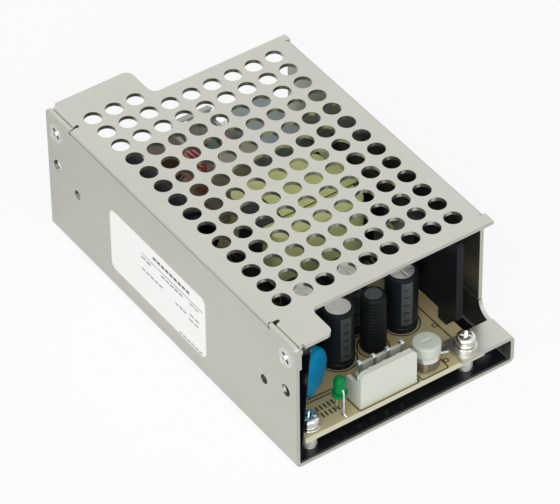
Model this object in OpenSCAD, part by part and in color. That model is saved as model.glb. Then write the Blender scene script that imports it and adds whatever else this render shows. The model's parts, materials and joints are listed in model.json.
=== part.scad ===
// Open frame power supply: a printed circuit board with its parts, screwed into
// a folded sheet-metal chassis and closed by a perforated folded cover.
//
// Frame: origin at the middle of the footprint, on the resting plane. +Z is up,
// Y is the long axis with the output end at -Y, and the labelled wall is at -X.
// Sub-parts are drawn from the front corner of the labelled wall.

/* [Enclosure] */
// Length of the enclosure, output end to input end
length = 103.4; // [98:0.2:120]
// Width of the enclosure
width = 62; // [58:0.5:72]
// Height of the enclosure
height = 37; // [34:0.5:46]
// Thickness of the sheet metal
sheet = 1.0; // [0.8:0.1:1.2]
// Outer radius of the sheet's bends
bend_r = 1.5; // [1.4:0.1:2]
// Height of the low wall that faces the labelled one
low_wall_h = 10.2; // [9.6:0.2:14]

/* [Cover] */
// Diameter of the cover's perforations
perf_d = 4.5; // [3:0.1:5]
// Pitch of the perforations both ways
perf_pitch = 6.0; // [5.6:0.1:8]
// Set-back of the cover plate from the output end
cover_front = 9.2; // [8:0.2:12]
// Set-back of the cover plate from the input end
cover_back = 10.4; // [8:0.2:12]
// Width of the cover's front corner tab
front_tab_w = 10.6; // [8:0.2:16]
// Width of the cover's back corner tab
back_tab_w = 23.6; // [16:0.2:30]

/* [Circuit board] */
// Width of the circuit board
board_w = 50.8; // [46:0.2:56]
// Thickness of the circuit board
board_t = 1.6; // [1.2:0.1:2]
// Height of the standoffs under the board, above the floor
standoff_h = 4.4; // [4:0.1:6]
// Inset of the board's screws from its edges
hole_inset = 3.2; // [3:0.1:4]

/* [Side mounting] */
// Diameter of the mounting holes in the labelled wall
mount_d = 3.2; // [2.9:0.1:4.2]
// Height of the mounting holes above the base
mount_z = 21.6; // [14:0.2:24]
// Inset of the mounting holes from both ends
mount_inset = 4.1; // [3.6:0.1:6]

/* [Output connector] */
// Number of output pins
out_pins = 4; // [2:1:4]
// Pitch of the connector pins
pin_pitch = 3.96; // [2.54:0.01:4.2]
// Height of the output header's locking wall
header_h = 10.0; // [8:0.2:11]

/* [Parts on the board] */
// Diameter of the trimmer's knob
knob_d = 7.0; // [5:0.1:7.6]
// Diameter of the front output capacitors
cap_d = 8.0; // [6:0.1:8.6]
// Height of the output capacitors
cap_h = 16.6; // [12:0.2:18]
// Diameter of the bulk capacitor, which lies on its side
bulk_d = 15.0; // [12:0.2:16]
// Length of the bulk capacitor
bulk_l = 30.0; // [20:0.5:31]
// Height of the transformer above the board
transformer_h = 21.5; // [18:0.5:24]

/* [Hidden] */
$fn = 48;

over = 0.1;                    // how far a cutter reaches past the face it cuts
gap = 0.2;                     // clearance between neighbouring sheets
small_fn = 16;                 // facets of wires and small rounds
fine_fn = 32;

// Circuit board
board_gap = 0.9;               // the board stops this far from both open ends
board_aisle = 2.2;             // between the labelled wall and the board
board_x = sheet + board_aisle;
board_y = board_gap;
board_l = length - 2 * board_gap;
board_right = board_x + board_w;
board_z = sheet + standoff_h;
board_top = board_z + board_t;
slot = [12, 1.6];              // slot under the optocoupler, between mains and output side

// Chassis
wall_top = height - sheet;
ear_l = 10.5;                  // labelled wall rises flush with the cover over this length
ear_r = 1.5;
ear_relief_r = 0.5;
tab_top = board_top + sheet;
tab_l = 7.9;                   // hold-down tab over the board's right corners
tab_past_hole = 3.9;
tab_left = board_right - hole_inset - tab_past_hole;
wall_gap = 12.7;               // the low wall is full height from here on
wall_fillet = 4.0;
locating_d = 2.5;
locating_inset = 12.7;
locating_z = 18.4;
screw_drop = 5.4;              // cover screws, below the enclosure's top
screw_z = height - screw_drop;
csk_d = 5.5;
csk_hole_d = 3.3;

// Insulating film on the floor, and the label
film_t = 0.3;
film_inset = 0.4;
film_play = 0.4;               // the film's holes are this much wider than the standoffs
label = [40, 18.5];
label_r = 2;
label_t = 0.1;
label_y = 36.4;
label_z = 6.2;

// Cover
corner_r = 2.0;
perf_edge = [6.9, 15.4];       // least inset of the outer perforations across and along
perf_shift = 0.2;              // the rows sit this much nearer the output end
perf_land = 1;                 // least land between a perforation and an edge
skirt_inset = 12.8;            // the cover's skirt stops this far from both ends
skirt_z = low_wall_h + gap;
hook_l = 12;
hook_drop = 3.2;
hook_root = 2;
hook_place = 0.25;             // hooks, as a share of the length from both ends
seam_x = sheet + gap;          // the cover's inner tabs sit behind the labelled wall
inner_tab_y = 0.8;
inner_tab_l = 9.0;
inner_tab_drop = 7.7;

// Cover screws, countersunk M3
screw_d = 2.9;                 // shank in its thread
tapped_d = 3.0;
screw_l = 6;
screw_sunk = 0.05;
csk_play = 0.14;
csk_recess = [3.0, 0.9];       // width and depth of the cross recess

// Standoffs and board screws, M2.5
small_screw_d = 2.4;           // shank in its thread
small_tapped_d = 2.5;
board_hole_d = 3.2;
standoff_d = 3.6;
neck_d = 3.0;                  // the pressed-in foot is narrower
neck_h = 0.7;
washer_hole_d = 2.8;
flat_washer_d = 5.6;
flat_washer_t = 0.5;
spring_washer_d = 4.9;
spring_washer_t = 0.7;
spring_split = 0.5;
pan_d = 4.9;
pan_h = 1.9;
pan_round = 0.9;
pan_recess = [2.9, 1.1];
shank_below = 4.9;             // reach of a board screw under the lowest washer
shank_tip = 0.3;

// Heatsinks: 2 mm plates on feet
sink_t = 2.0;
sink_clear = 1.8;              // under the cover
sink_lift = 3.9;
sink_r = 1.2;
foot_w = 3.2;
foot_y = 3.6;
sink_h = wall_top - sink_clear - board_top;
out_sink_x = board_right - 2.2;
out_sink_y = 9.4;
out_sink_l = 50;
in_sink_x = board_x + 1.6;
in_sink_y = 22;
in_sink_l = 54;

// Power packages
package_w = 10;
package_t = 4.4;
package_h = 15;
package_body_h = 10;
package_tab_t = 1.3;
package_hole_d = 3.4;
package_hole_drop = 2.6;       // hole's middle below the tab's top
package_lift = 6;
package_lead = [0.5, 0.8];
package_lead_x = 2.6;
package_pitch = 2.54;
package_screw = [4.6, 2.0];    // head's diameter and height
package_recess = [2.4, 1.0];
rectifier_y = 26;
transistor_y = 36;
package_hole_z = board_top + package_lift + package_h - package_hole_drop;

// Places on the board, as shares of its width and length
front_caps = [[0.4213, 0.1722], [0.7972, 0.1860]];
rear_caps = [[0.3504, 0.2648], [0.5925, 0.2608]];
rod_place = [0.5984, 0.1575];
opto_place = [0.2795, 0.3789];
transformer_place = [0.6476, 0.4936];
thermistor_place = [0.2224, 0.5325];
resistor_places = [[0.4488, 0.3396], [0.6850, 0.3396]];
bulk_share = 0.7628;
bridge_share = 0.6594;
film_share = 0.7490;
mains_share = 0.8022;
choke_share = 0.8346;

// Transformer
core_w = 27.2;
core_d = 9;
yoke_h = 4.6;
core_limb = 4;
winding = [25.8, 21.6];        // across and along
winding_r = 3;
winding_drop = 0.4;            // winding's top below the core's
winding_lift = 1.8;            // winding's underside above the core's
tape_t = 0.25;
tape_start = 6.2;              // bare end of the core before the tape
bobbin_lift = 2.2;
bobbin_t = 1.6;
bobbin_pins = 5;
bobbin_pin = 1.0;
bobbin_pitch = 5;
bobbin_edge = 0.8;
core_low = board_top + bobbin_lift + bobbin_t;
core_top = board_top + transformer_h;

// Electrolytic capacitors
rear_cap_d = 10;
can_roll = 0.07;               // shares of the can's diameter
can_rim = 0.12;
bead_share = 0.08;
bead_z = 1.8;
can_top_sink = 0.3;
bulk_gap = 0.5;

// Box capacitors: across, along, height
mains_box = [10, 18.2, 16.8];
mains_edge = 0.6;
film_box = [13, 6.8, 15];
box_gap = 0.5;
mains_left = board_right - mains_edge - mains_box[0];

// Bridge rectifier
bridge = [14, 5, 14];
bridge_edge = 1.4;
bridge_lift = 3;
bridge_cut = 2.8;              // bevel that marks the plus lead
bridge_lead = [0.8, 0.6];
bridge_lead_inset = 1.4;
bridge_pitch = 3.5;

// Line choke: a ring on edge with two windings
ring_d = 13;
ring_hole = 6.4;
ring_t = 6;
ring_wire = 1.1;
ring_arc = 132;
choke_x = mains_left - box_gap - ring_wire - ring_d / 2;
choke_z = board_top + ring_wire + ring_d / 2;

// Thermistor, fuse, disc capacitor
thermistor = [10, 4];          // diameter and thickness
lead_d = 0.8;
thermistor_lift = 2.4;
lead_spread = 2.5;
fuse_d = 8.4;
fuse_h = 8.2;
fuse_edge = 6.8;
fuse_gap = 1.34;
disc = [11.6, 4.2];
disc_edge = 10;                // from the board's left edge
disc_lift = 2.2;
disc_behind = 6.7;             // behind the front row
disc_turn = 34;
lead_bury = 1;

// Optocoupler
opto = [4.6, 6.4, 3.6];
opto_lift = 0.4;
opto_lead = [0.6, 0.3];
opto_pitch = 2.54;

// Resistors
resistor = [6.4, 2.4];         // length and diameter
resistor_span = 4.8;
resistor_lift = 1.6;
resistor_wire = 0.7;
resistor_waist = 0.85;
resistor_end = 1.6;

// Rod choke under its sleeve
rod_d = 6.4;
rod_h = 16.8;
rod_top_d = 3.5;
rod_head = 3;
rod_turn_r = 0.75;
rod_turns = 7;
rod_step = 1.8;
rod_inset = 0.35;

// Headers
header_end = 2.0;              // past the outer pins
header_wall_t = 1.5;
header_depth = 5.7;
header_base_h = 3.2;
header_cheek_t = 1;
header_cheek_share = 0.62;
header_slit = 0.5;
header_rib = [1, 0.6, 0.5];    // width, depth, drop below the wall's top
header_chamfer = 1.1;
header_y = 1.6;
pin_row = 3.5;                 // pins behind the locking wall's outer face
pin_side = 1.1;
pin_top = 11.2;
pin_tail = 2.2;
pin_tip = 0.5;
pin_hole_d = 1.7;
in_places = 3;
in_gap = 0.94;
out_header_w = (out_pins - 1) * pin_pitch + 2 * header_end;
in_header_w = (in_places - 1) * pin_pitch + 2 * header_end;
in_x = tab_left - in_gap - in_header_w / 2;

// Indicator
led_d = 3.0;
led_flange = 0.4;
led_flange_h = 1.0;
led_body_h = 4.0;
led_lift = 5.3;
led_y = 3.9;
led_lead = 0.5;
led_pitch = 2.54;
led_hole_d = 0.9;

// Trimmer
trim_y = 4.9;
trim_base_h = 3.0;
trim_base_in = 0.4;            // base inside the knob's outline
trim_foot = [1.2, 0.8];
trim_foot_in = 1.6;
trim_ring_h = 1.4;
trim_ring_in = 0.2;
trim_lug = [2.4, 1.8, 0.6];
trim_lug_in = 0.8;
trim_lug_z = 0.4;
trim_lug_turn = -20;
knob_h = 3.2;
knob_slot = [0.5, 0.7, 0.7];   // length as a share of the knob, width, depth
pivot_d = 1.6;
pivot_end = 0.4;
run_gap = 0.05;                // running clearance of the knob's pivot

// The row at the output end: screw, indicator, header, trimmer, hold-down tab
row_gaps = [3.7, 2.36, 1.56, 3.4];
led_w = led_d + 2 * led_flange;
row_left = board_x + hole_inset + flat_washer_d / 2;
row_free = tab_left - row_left - led_w - out_header_w - knob_d;
row_fit = row_free / (row_gaps[0] + row_gaps[1] + row_gaps[2] + row_gaps[3]);
led_x = row_left + row_gaps[0] * row_fit + led_w / 2;
out_x = led_x + led_w / 2 + row_gaps[1] * row_fit + out_header_w / 2;
trim_x = out_x + out_header_w / 2 + row_gaps[2] * row_fit + knob_d / 2;

// ---------------------------------------------------------------- helpers

// Puts what is drawn from the enclosure's corner into the part's frame
module from_corner() translate([-width / 2, -length / 2, 0]) children();

// Places the children on the board, at shares of its width and length
module on_board(p) translate([board_x + p[0] * board_w, board_y + p[1] * board_l, board_top]) children();

// Extrudes an outline drawn in X and Z along +Y
module along_y(l) translate([0, l, 0]) rotate([90, 0, 0]) linear_extrude(l) children();

// Extrudes an outline drawn in Y and Z along +X
module along_x(l) rotate([90, 0, 90]) linear_extrude(l) children();

// Repeats the children at the output end and, mirrored, at the input end
module both_ends() {
    children();
    translate([0, length, 0]) mirror([0, 1, 0]) children();
}

// Section of a bend in the sheet, from the +X side round to the +Y side
module bend_section() {
    intersection() {
        difference() {
            circle(bend_r);
            circle(bend_r - sheet);
        }
        square(bend_r);
    }
}

// A w by l outline with its corner at (w, 0) rounded
module corner_tab(w, l, r) {
    square([w - r, l]);
    translate([0, r]) square([w, l - r]);
    translate([w - r, r]) circle(r);
}

// A w by l outline with four rounded corners
module rounded(w, l, r) {
    translate([r, 0]) square([w - 2 * r, l]);
    translate([0, r]) square([w, l - 2 * r]);
    for (x = [r, w - r], y = [r, l - r]) translate([x, y]) circle(r);
}

// The small web that rounds an inner corner at the origin
module inner_fillet(r) {
    difference() {
        square(r);
        translate([r, r]) circle(r);
    }
}

// A slab with rounded vertical edges, standing on z = 0 and centred on the origin
module slab(size, r) {
    translate([-size[0] / 2, -size[1] / 2, 0]) linear_extrude(size[2]) rounded(size[0], size[1], r);
}

// Places the children at each of the board's four screws, at the board's underside
module at_board_screws() {
    for (x = [board_x + hole_inset, board_right - hole_inset])
        for (y = [board_y + hole_inset, length - board_y - hole_inset])
            translate([x, y, board_z]) children();
}

// Places the children on what each screw clamps: the board on the left, the tabs on the right
module at_screw_seats() {
    for (y = [board_y + hole_inset, length - board_y - hole_inset]) {
        translate([board_x + hole_inset, y, board_top]) children();
        translate([board_right - hole_inset, y, tab_top]) children();
    }
}

// Places the children at each pin of a row
module along_pins(count) {
    for (i = [0:count - 1]) translate([(i - (count - 1) / 2) * pin_pitch, 0, 0]) children();
}

// Places the children at the outer two places of the input header, where its pins are
module at_input_pins() {
    for (side = [-1, 1]) translate([side * (in_places - 1) / 2 * pin_pitch, 0, 0]) children();
}

// A cross recess, seen from above its mouth
module cross_recess(size) {
    w = size[0];
    depth = size[1];
    wing = w / 4;
    for (a = [45, 135])
        rotate([0, 0, a]) translate([-w / 2, -wing / 2, -depth]) cube([w, wing, depth + over]);
    translate([0, 0, -depth]) cylinder(h = depth + over, d1 = wing, d2 = 2 * wing);
}

// A can standing on the board: bead above its seal, sleeve rolled over the top edge
module can(d, h) {
    r = d / 2;
    roll = d * can_roll;
    bead = d * bead_share;
    rotate_extrude() difference() {
        union() {
            square([r - roll, h]);
            square([r, h - roll]);
            translate([r - roll, h - roll]) circle(roll, $fn = fine_fn);
        }
        translate([-over, h - can_top_sink]) square([r - d * can_rim + over, can_top_sink + over]);
        translate([r + bead / 2, bead_z]) circle(bead, $fn = fine_fn);
    }
}

// A dipped disc standing on edge, its axis along X, with its middle at the origin
module dipped_disc(size) {
    r = size[0] / 2;
    t = size[1];
    rotate([0, 90, 0]) rotate_extrude() {
        translate([0, -t / 2]) square([r - t / 2, t]);
        intersection() {
            translate([r - t / 2, 0]) circle(t / 2, $fn = fine_fn);
            translate([0, -t / 2]) square([r, t]);
        }
    }
}

// Two straight leads side by side along Y
module lead_pair(h) {
    for (y = [-lead_spread, lead_spread])
        translate([0, y, 0]) cylinder(h = h, d = lead_d, $fn = small_fn);
}

// A power package with its back on the plane x = 0, facing -X, its leads down to the board
module power_package() {
    translate([-package_t, 0, 0]) cube([package_t, package_w, package_body_h]);
    difference() {
        translate([-package_tab_t, 0, 0]) cube([package_tab_t, package_w, package_h]);
        translate([-package_tab_t - over, package_w / 2, package_h - package_hole_drop])
            rotate([0, 90, 0]) cylinder(h = package_tab_t + 2 * over, d = package_hole_d);
    }
    for (i = [-1:1])
        translate([-package_lead_x, package_w / 2 + i * package_pitch - package_lead[1] / 2,
            -package_lift])
            cube([package_lead[0], package_lead[1], package_lift + over]);
}

// Pan-head screw along +Z: head above the origin, shank through a package's tab and a heatsink
module package_fixing() {
    shank = package_tab_t + sink_t;
    difference() {
        cylinder(h = package_screw[1], d = package_screw[0]);
        translate([0, 0, package_screw[1]]) cross_recess(package_recess);
    }
    translate([0, 0, -shank]) cylinder(h = shank, d = screw_d);
}

// ---------------------------------------------------------------- enclosure

// The labelled wall seen from its side, in Y and Z, with its round holes
module wall_outline() {
    difference() {
        union() {
            translate([0, bend_r]) square([length, wall_top - bend_r]);
            translate([0, height - ear_l]) ear();
            translate([length, height - ear_l]) mirror([1, 0]) ear();
        }
        for (y = [ear_l, length - ear_l]) translate([y, wall_top]) circle(ear_relief_r);
        for (y = [mount_inset, length - mount_inset])
            translate([y, mount_z]) circle(d = mount_d);
        for (y = [locating_inset, length - locating_inset])
            translate([y, locating_z]) circle(d = locating_d);
    }
}

// Ear of the labelled wall, its outer top corner rounded
module ear() {
    translate([0, ear_l]) mirror([0, 1]) translate([ear_l, 0]) mirror([1, 0])
        corner_tab(ear_l, ear_l, ear_r);
}

// Countersunk hole through the labelled wall, along +X
module countersink() {
    slope = (csk_d - csk_hole_d) / sheet;
    rotate([0, 90, 0]) translate([0, 0, -over]) {
        cylinder(h = sheet + over, d1 = csk_d + slope * over, d2 = csk_hole_d);
        cylinder(h = sheet + 2 * over, d = csk_hole_d);
    }
}

// Relief between a hold-down tab and the low wall, drawn in Y and Z
module wall_relief() {
    low = tab_top - bend_r;
    translate([-over, low]) square([wall_gap - wall_fillet + over, height]);
    translate([-over, low + wall_fillet]) square([wall_gap + over, height]);
    translate([wall_gap - wall_fillet, low + wall_fillet]) circle(wall_fillet);
}

// Tab bent over the board's corner from the low wall
module hold_down_tab() {
    difference() {
        along_y(tab_l) {
            translate([width - bend_r, tab_top - bend_r]) bend_section();
            translate([tab_left, board_top]) square([width - bend_r - tab_left, sheet]);
        }
        translate([board_right - hole_inset, board_y + hole_inset, board_top - over])
            cylinder(h = sheet + 2 * over, d = board_hole_d);
    }
}

module chassis() {
    color("lightgray") from_corner() {
        difference() {
            along_x(sheet) wall_outline();
            for (y = [mount_inset, length - mount_inset])
                translate([0, y, screw_z]) countersink();
        }
        difference() {
            along_y(length) {
                translate([bend_r, bend_r]) rotate(180) bend_section();
                translate([bend_r, 0]) square([width - 2 * bend_r, sheet]);
                translate([width - bend_r, bend_r]) rotate(-90) bend_section();
                translate([width - sheet, bend_r]) square([sheet, low_wall_h - bend_r]);
            }
            both_ends() translate([width - sheet - over, 0, 0])
                along_x(sheet + 2 * over) wall_relief();
            at_board_screws() translate([0, 0, -board_z - over])
                cylinder(h = sheet + 2 * over, d = neck_d);
        }
        both_ends() hold_down_tab();
    }
}

// The cover plate seen from above, without its perforations
module cover_outline() {
    back = length - cover_back;
    flat_w = width - bend_r;
    left = seam_x + bend_r;
    skirt_end = length - skirt_inset + gap;
    translate([left, cover_front]) square([flat_w - left, back - cover_front]);
    translate([0, ear_l + gap]) square([flat_w, length - 2 * (ear_l + gap)]);
    // tongues in front of and behind the skirt
    translate([flat_w - over, cover_front])
        square([bend_r + over, skirt_inset - gap - cover_front]);
    translate([flat_w - over, skirt_end]) square([bend_r + over, back - skirt_end]);
    // corner tabs over the ears, with filleted roots
    translate([left, 0]) corner_tab(front_tab_w - left, cover_front + over, corner_r);
    translate([front_tab_w, cover_front]) mirror([0, 1]) inner_fillet(corner_r);
    translate([left, length]) mirror([0, 1])
        corner_tab(back_tab_w - left, cover_back + over, corner_r);
    translate([back_tab_w, back]) inner_fillet(corner_r);
}

// As many full rows as the plate takes, and a short row on the back corner tab
module perforations() {
    cols = floor((width - 2 * perf_edge[0]) / perf_pitch);
    rows = floor((length - 2 * perf_edge[1]) / perf_pitch);
    x0 = (width - cols * perf_pitch) / 2;
    y0 = (length - rows * perf_pitch) / 2 - perf_shift;
    tab_cols = floor((back_tab_w - x0 - perf_d / 2 - perf_land) / perf_pitch);
    for (i = [0:cols], j = [0:rows])
        translate([x0 + i * perf_pitch, y0 + j * perf_pitch]) circle(d = perf_d);
    for (i = [0:tab_cols])
        translate([x0 + i * perf_pitch, y0 + (rows + 1) * perf_pitch]) circle(d = perf_d);
}

// Tab bent down from the cover behind an ear of the labelled wall
module inner_tab() {
    difference() {
        translate([0, inner_tab_y, 0]) along_y(inner_tab_l) {
            translate([seam_x + bend_r, height - bend_r]) rotate(90) bend_section();
            translate([seam_x, height - inner_tab_drop])
                square([sheet, inner_tab_drop - bend_r]);
        }
        translate([0, mount_inset, screw_z]) rotate([0, 90, 0])
            cylinder(h = seam_x + sheet + over, d = tapped_d);
    }
}

// Hook of the skirt that slides down behind the low wall
module skirt_hook() {
    translate([width - 2 * sheet - gap, 0, skirt_z - hook_drop])
        cube([sheet, hook_l, hook_drop + hook_root]);
    translate([width - sheet - gap - over, 0, skirt_z])
        cube([gap + 2 * over, hook_l, hook_root]);
}

module cover() {
    color("gainsboro") from_corner() {
        translate([0, 0, wall_top]) linear_extrude(sheet) difference() {
            cover_outline();
            perforations();
            for (y = [ear_l, length - ear_l]) translate([sheet / 2, y]) circle(ear_relief_r);
        }
        both_ends() {
            inner_tab();
            translate([0, length * hook_place, 0]) skirt_hook();
        }
        translate([0, skirt_inset, 0]) along_y(length - 2 * skirt_inset) {
            translate([width - bend_r, height - bend_r]) bend_section();
            translate([width - sheet, skirt_z]) square([sheet, height - bend_r - skirt_z]);
        }
    }
}

module cover_screws() {
    color("silver") from_corner()
        for (y = [mount_inset, length - mount_inset])
            translate([screw_sunk, y, screw_z]) rotate([0, 90, 0]) difference() {
                union() {
                    cylinder(h = sheet - screw_sunk, d1 = csk_d - csk_play, d2 = screw_d);
                    cylinder(h = screw_l, d = screw_d);
                }
                mirror([0, 0, 1]) cross_recess(csk_recess);
            }
}

module floor_film() {
    inset = bend_r + gap;
    color("#15181c") from_corner() difference() {
        translate([inset, film_inset, sheet])
            cube([width - 2 * inset, length - 2 * film_inset, film_t]);
        at_board_screws() translate([0, 0, -board_z])
            cylinder(h = board_z, d = standoff_d + film_play);
    }
}

module standoffs() {
    color("gainsboro") from_corner() at_board_screws() translate([0, 0, -standoff_h])
        difference() {
            union() {
                translate([0, 0, neck_h]) cylinder(h = standoff_h - neck_h, d = standoff_d);
                translate([0, 0, -sheet]) cylinder(h = sheet + neck_h + over, d = neck_d);
            }
            translate([0, 0, -sheet - over])
                cylinder(h = standoff_h + sheet + 2 * over, d = small_tapped_d);
        }
}

module rating_label() {
    color("white") from_corner() translate([-label_t, label_y, label_z])
        along_x(label_t) rounded(label[0], label[1], label_r);
}

// ---------------------------------------------------------------- board and screws

module circuit_board() {
    drill = board_t + 2 * over;
    low = -board_t - over;
    color("#b9a46a") from_corner() difference() {
        translate([board_x, board_y, board_z]) cube([board_w, board_l, board_t]);
        at_board_screws() translate([0, 0, -over]) cylinder(h = drill, d = board_hole_d);
        on_board(opto_place) translate([-slot[0] / 2, -slot[1] / 2, low])
            cube([slot[0], slot[1], drill]);
        translate([out_x, header_y + pin_row, board_top + low])
            along_pins(out_pins) cylinder(h = drill, d = pin_hole_d, $fn = small_fn);
        translate([in_x, length - header_y - pin_row, board_top + low])
            at_input_pins() cylinder(h = drill, d = pin_hole_d, $fn = small_fn);
        for (side = [-1, 1])
            translate([led_x, led_y + side * led_pitch / 2, board_top + low])
                cylinder(h = drill, d = led_hole_d, $fn = small_fn);
    }
}

module board_screws() {
    stack = flat_washer_t + spring_washer_t;
    reach = stack + shank_below;
    color("silver") from_corner() at_screw_seats() translate([0, 0, stack]) {
        difference() {
            rotate_extrude() {
                square([pan_d / 2 - pan_round, pan_h]);
                square([pan_d / 2, pan_h - pan_round]);
                translate([pan_d / 2 - pan_round, pan_h - pan_round]) circle(pan_round, $fn = fine_fn);
            }
            translate([0, 0, pan_h]) cross_recess(pan_recess);
        }
        translate([0, 0, shank_tip - reach]) cylinder(h = reach - shank_tip, d = small_screw_d);
        translate([0, 0, -reach])
            cylinder(h = shank_tip, d1 = small_screw_d - 2 * shank_tip, d2 = small_screw_d);
    }
}

module spring_washers() {
    color("silver") from_corner() at_screw_seats() translate([0, 0, flat_washer_t])
        difference() {
            cylinder(h = spring_washer_t, d = spring_washer_d);
            translate([0, 0, -over]) cylinder(h = spring_washer_t + 2 * over, d = washer_hole_d);
            rotate([0, 0, -60]) translate([0, -spring_split / 2, -over])
                cube([spring_washer_d, spring_split, spring_washer_t + 2 * over]);
        }
}

module flat_washers() {
    color("silver") from_corner() at_screw_seats() difference() {
        cylinder(h = flat_washer_t, d = flat_washer_d);
        translate([0, 0, -over]) cylinder(h = flat_washer_t + 2 * over, d = washer_hole_d);
    }
}

// ---------------------------------------------------------------- heatsinks

// Plate heatsink seen from its side: a raised plate with rounded top corners on two feet
module sink_outline(l) {
    plate_h = sink_h - sink_lift;
    translate([0, sink_lift]) {
        square([l, plate_h - sink_r]);
        translate([sink_r, 0]) square([l - 2 * sink_r, plate_h]);
        for (y = [sink_r, l - sink_r]) translate([y, plate_h - sink_r]) circle(sink_r);
    }
    for (y = [foot_y, l - foot_y - foot_w]) translate([y, 0]) square([foot_w, sink_lift + over]);
}

// Plate heatsink at (x, y), l long, tapped for the package that starts at package_y
module plate_sink(x, y, l, package_y) {
    difference() {
        translate([x, y, board_top]) along_x(sink_t) sink_outline(l);
        translate([x - over, package_y + package_w / 2, package_hole_z]) rotate([0, 90, 0])
            cylinder(h = sink_t + 2 * over, d = tapped_d);
    }
}

module output_heatsink() {
    color("#14171a") from_corner() plate_sink(out_sink_x, out_sink_y, out_sink_l, rectifier_y);
}

module input_heatsink() {
    color("#191c20") from_corner() plate_sink(in_sink_x, in_sink_y, in_sink_l, transistor_y);
}

module output_rectifier() {
    color("#26282b") from_corner()
        translate([out_sink_x, rectifier_y, board_top + package_lift]) power_package();
}

module switching_transistor() {
    color("#26282b") from_corner()
        translate([in_sink_x + sink_t, transistor_y, board_top + package_lift])
            mirror([1, 0, 0]) power_package();
}

// Screws that hold both packages to their heatsinks
module transistor_screws() {
    color("silver") from_corner() {
        translate([out_sink_x - package_tab_t, rectifier_y + package_w / 2, package_hole_z])
            rotate([0, -90, 0]) package_fixing();
        translate([in_sink_x + sink_t + package_tab_t, transistor_y + package_w / 2, package_hole_z])
            rotate([0, 90, 0]) package_fixing();
    }
}

// ---------------------------------------------------------------- transformer and chokes

// Two yokes and two outer limbs of the ferrite core, in the transformer's own place
module core_bars() {
    tall = core_top - core_low;
    low = core_low - board_top;
    translate([-core_w / 2, -core_d / 2, low]) {
        for (z = [0, tall - yoke_h]) translate([0, 0, z]) cube([core_w, core_d, yoke_h]);
        for (x = [0, core_w - core_limb]) translate([x, 0, 0]) cube([core_limb, core_d, tall]);
    }
}

module transformer_core() {
    color("#2e2f2d") from_corner() on_board(transformer_place) core_bars();
}

// Taped winding in the core's window, bulging past the core on both sides
module transformer_winding() {
    low = core_low + winding_lift;
    color("#c9cc55") from_corner() on_board(transformer_place) difference() {
        translate([0, 0, low - board_top])
            slab([winding[0], winding[1], core_top - winding_drop - low], winding_r);
        core_bars();
    }
}

// Tape over the core, from its bare end across the top and down the other side
module transformer_tape() {
    low = core_low + winding_lift - board_top;
    color("#c9cc55") from_corner() on_board(transformer_place)
        translate([0, -core_d / 2, 0]) along_y(core_d) {
            translate([tape_start - core_w / 2, transformer_h])
                square([core_w - tape_start + tape_t, tape_t]);
            translate([core_w / 2, low]) square([tape_t, transformer_h - low + over]);
        }
}

// Base of the coil former with its two rows of pins
module transformer_bobbin() {
    pin_y = winding[1] / 2 - bobbin_edge - bobbin_pin / 2;
    color("#1f2022") from_corner() on_board(transformer_place) {
        translate([-core_w / 2, -winding[1] / 2, bobbin_lift]) cube([core_w, winding[1], bobbin_t]);
        for (i = [0:bobbin_pins - 1], y = [-pin_y, pin_y])
            translate([(i - (bobbin_pins - 1) / 2) * bobbin_pitch - bobbin_pin / 2,
                y - bobbin_pin / 2, 0])
                cube([bobbin_pin, bobbin_pin, bobbin_lift + over]);
    }
}

module rod_choke() {
    color("#1b1e20") from_corner() on_board(rod_place)
        rotate_extrude() {
            square([rod_d / 2 - rod_inset, rod_h - rod_head]);
            square([rod_top_d / 2, rod_h]);
            for (i = [0:rod_turns - 1])
                translate([rod_d / 2 - rod_turn_r, rod_turn_r + rod_inset + i * rod_step])
                    circle(rod_turn_r, $fn = small_fn);
        }
}

// Puts the children at the middle of the line choke's ring, its axis along Y
module at_line_choke() {
    translate([choke_x, board_y + choke_share * board_l, choke_z]) rotate([90, 0, 0]) children();
}

module line_choke_core() {
    color("#3a5a44") from_corner() at_line_choke() difference() {
        cylinder(h = ring_t, d = ring_d, center = true);
        cylinder(h = ring_t + 2 * over, d = ring_hole, center = true);
    }
}

// Two windings, each wrapped round one half of the ring
module line_choke_winding() {
    thick = (ring_d - ring_hole) / 2;
    color("#a8332c") from_corner() at_line_choke()
        for (side = [0, 180]) rotate([0, 0, side + 90 - ring_arc / 2])
            rotate_extrude(angle = ring_arc) difference() {
                translate([ring_hole / 2 - ring_wire, -ring_t / 2 - ring_wire])
                    square([thick + 2 * ring_wire, ring_t + 2 * ring_wire]);
                translate([ring_hole / 2, -ring_t / 2]) square([thick, ring_t]);
            }
}

// ---------------------------------------------------------------- capacitors and small parts

module front_capacitors() {
    color("#2b3137") from_corner() for (p = front_caps) on_board(p) can(cap_d, cap_h);
}

module rear_capacitors() {
    color("#2b3137") from_corner() for (p = rear_caps) on_board(p) can(rear_cap_d, cap_h);
}

module bulk_capacitor() {
    color("#1d2126") from_corner()
        translate([in_sink_x + sink_t + bulk_gap + bulk_d / 2,
            board_y + bulk_share * board_l - bulk_l / 2, board_top + bulk_d / 2])
            rotate([-90, 0, 0]) can(bulk_d, bulk_l);
}

module mains_capacitor() {
    color("#8d99a6") from_corner()
        translate([mains_left + mains_box[0] / 2, board_y + mains_share * board_l, board_top])
            slab(mains_box, over * 5);
}

module film_capacitor() {
    color("#8d8474") from_corner()
        translate([mains_left - box_gap - film_box[0] / 2, board_y + film_share * board_l, board_top])
            slab(film_box, over * 5);
}

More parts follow.
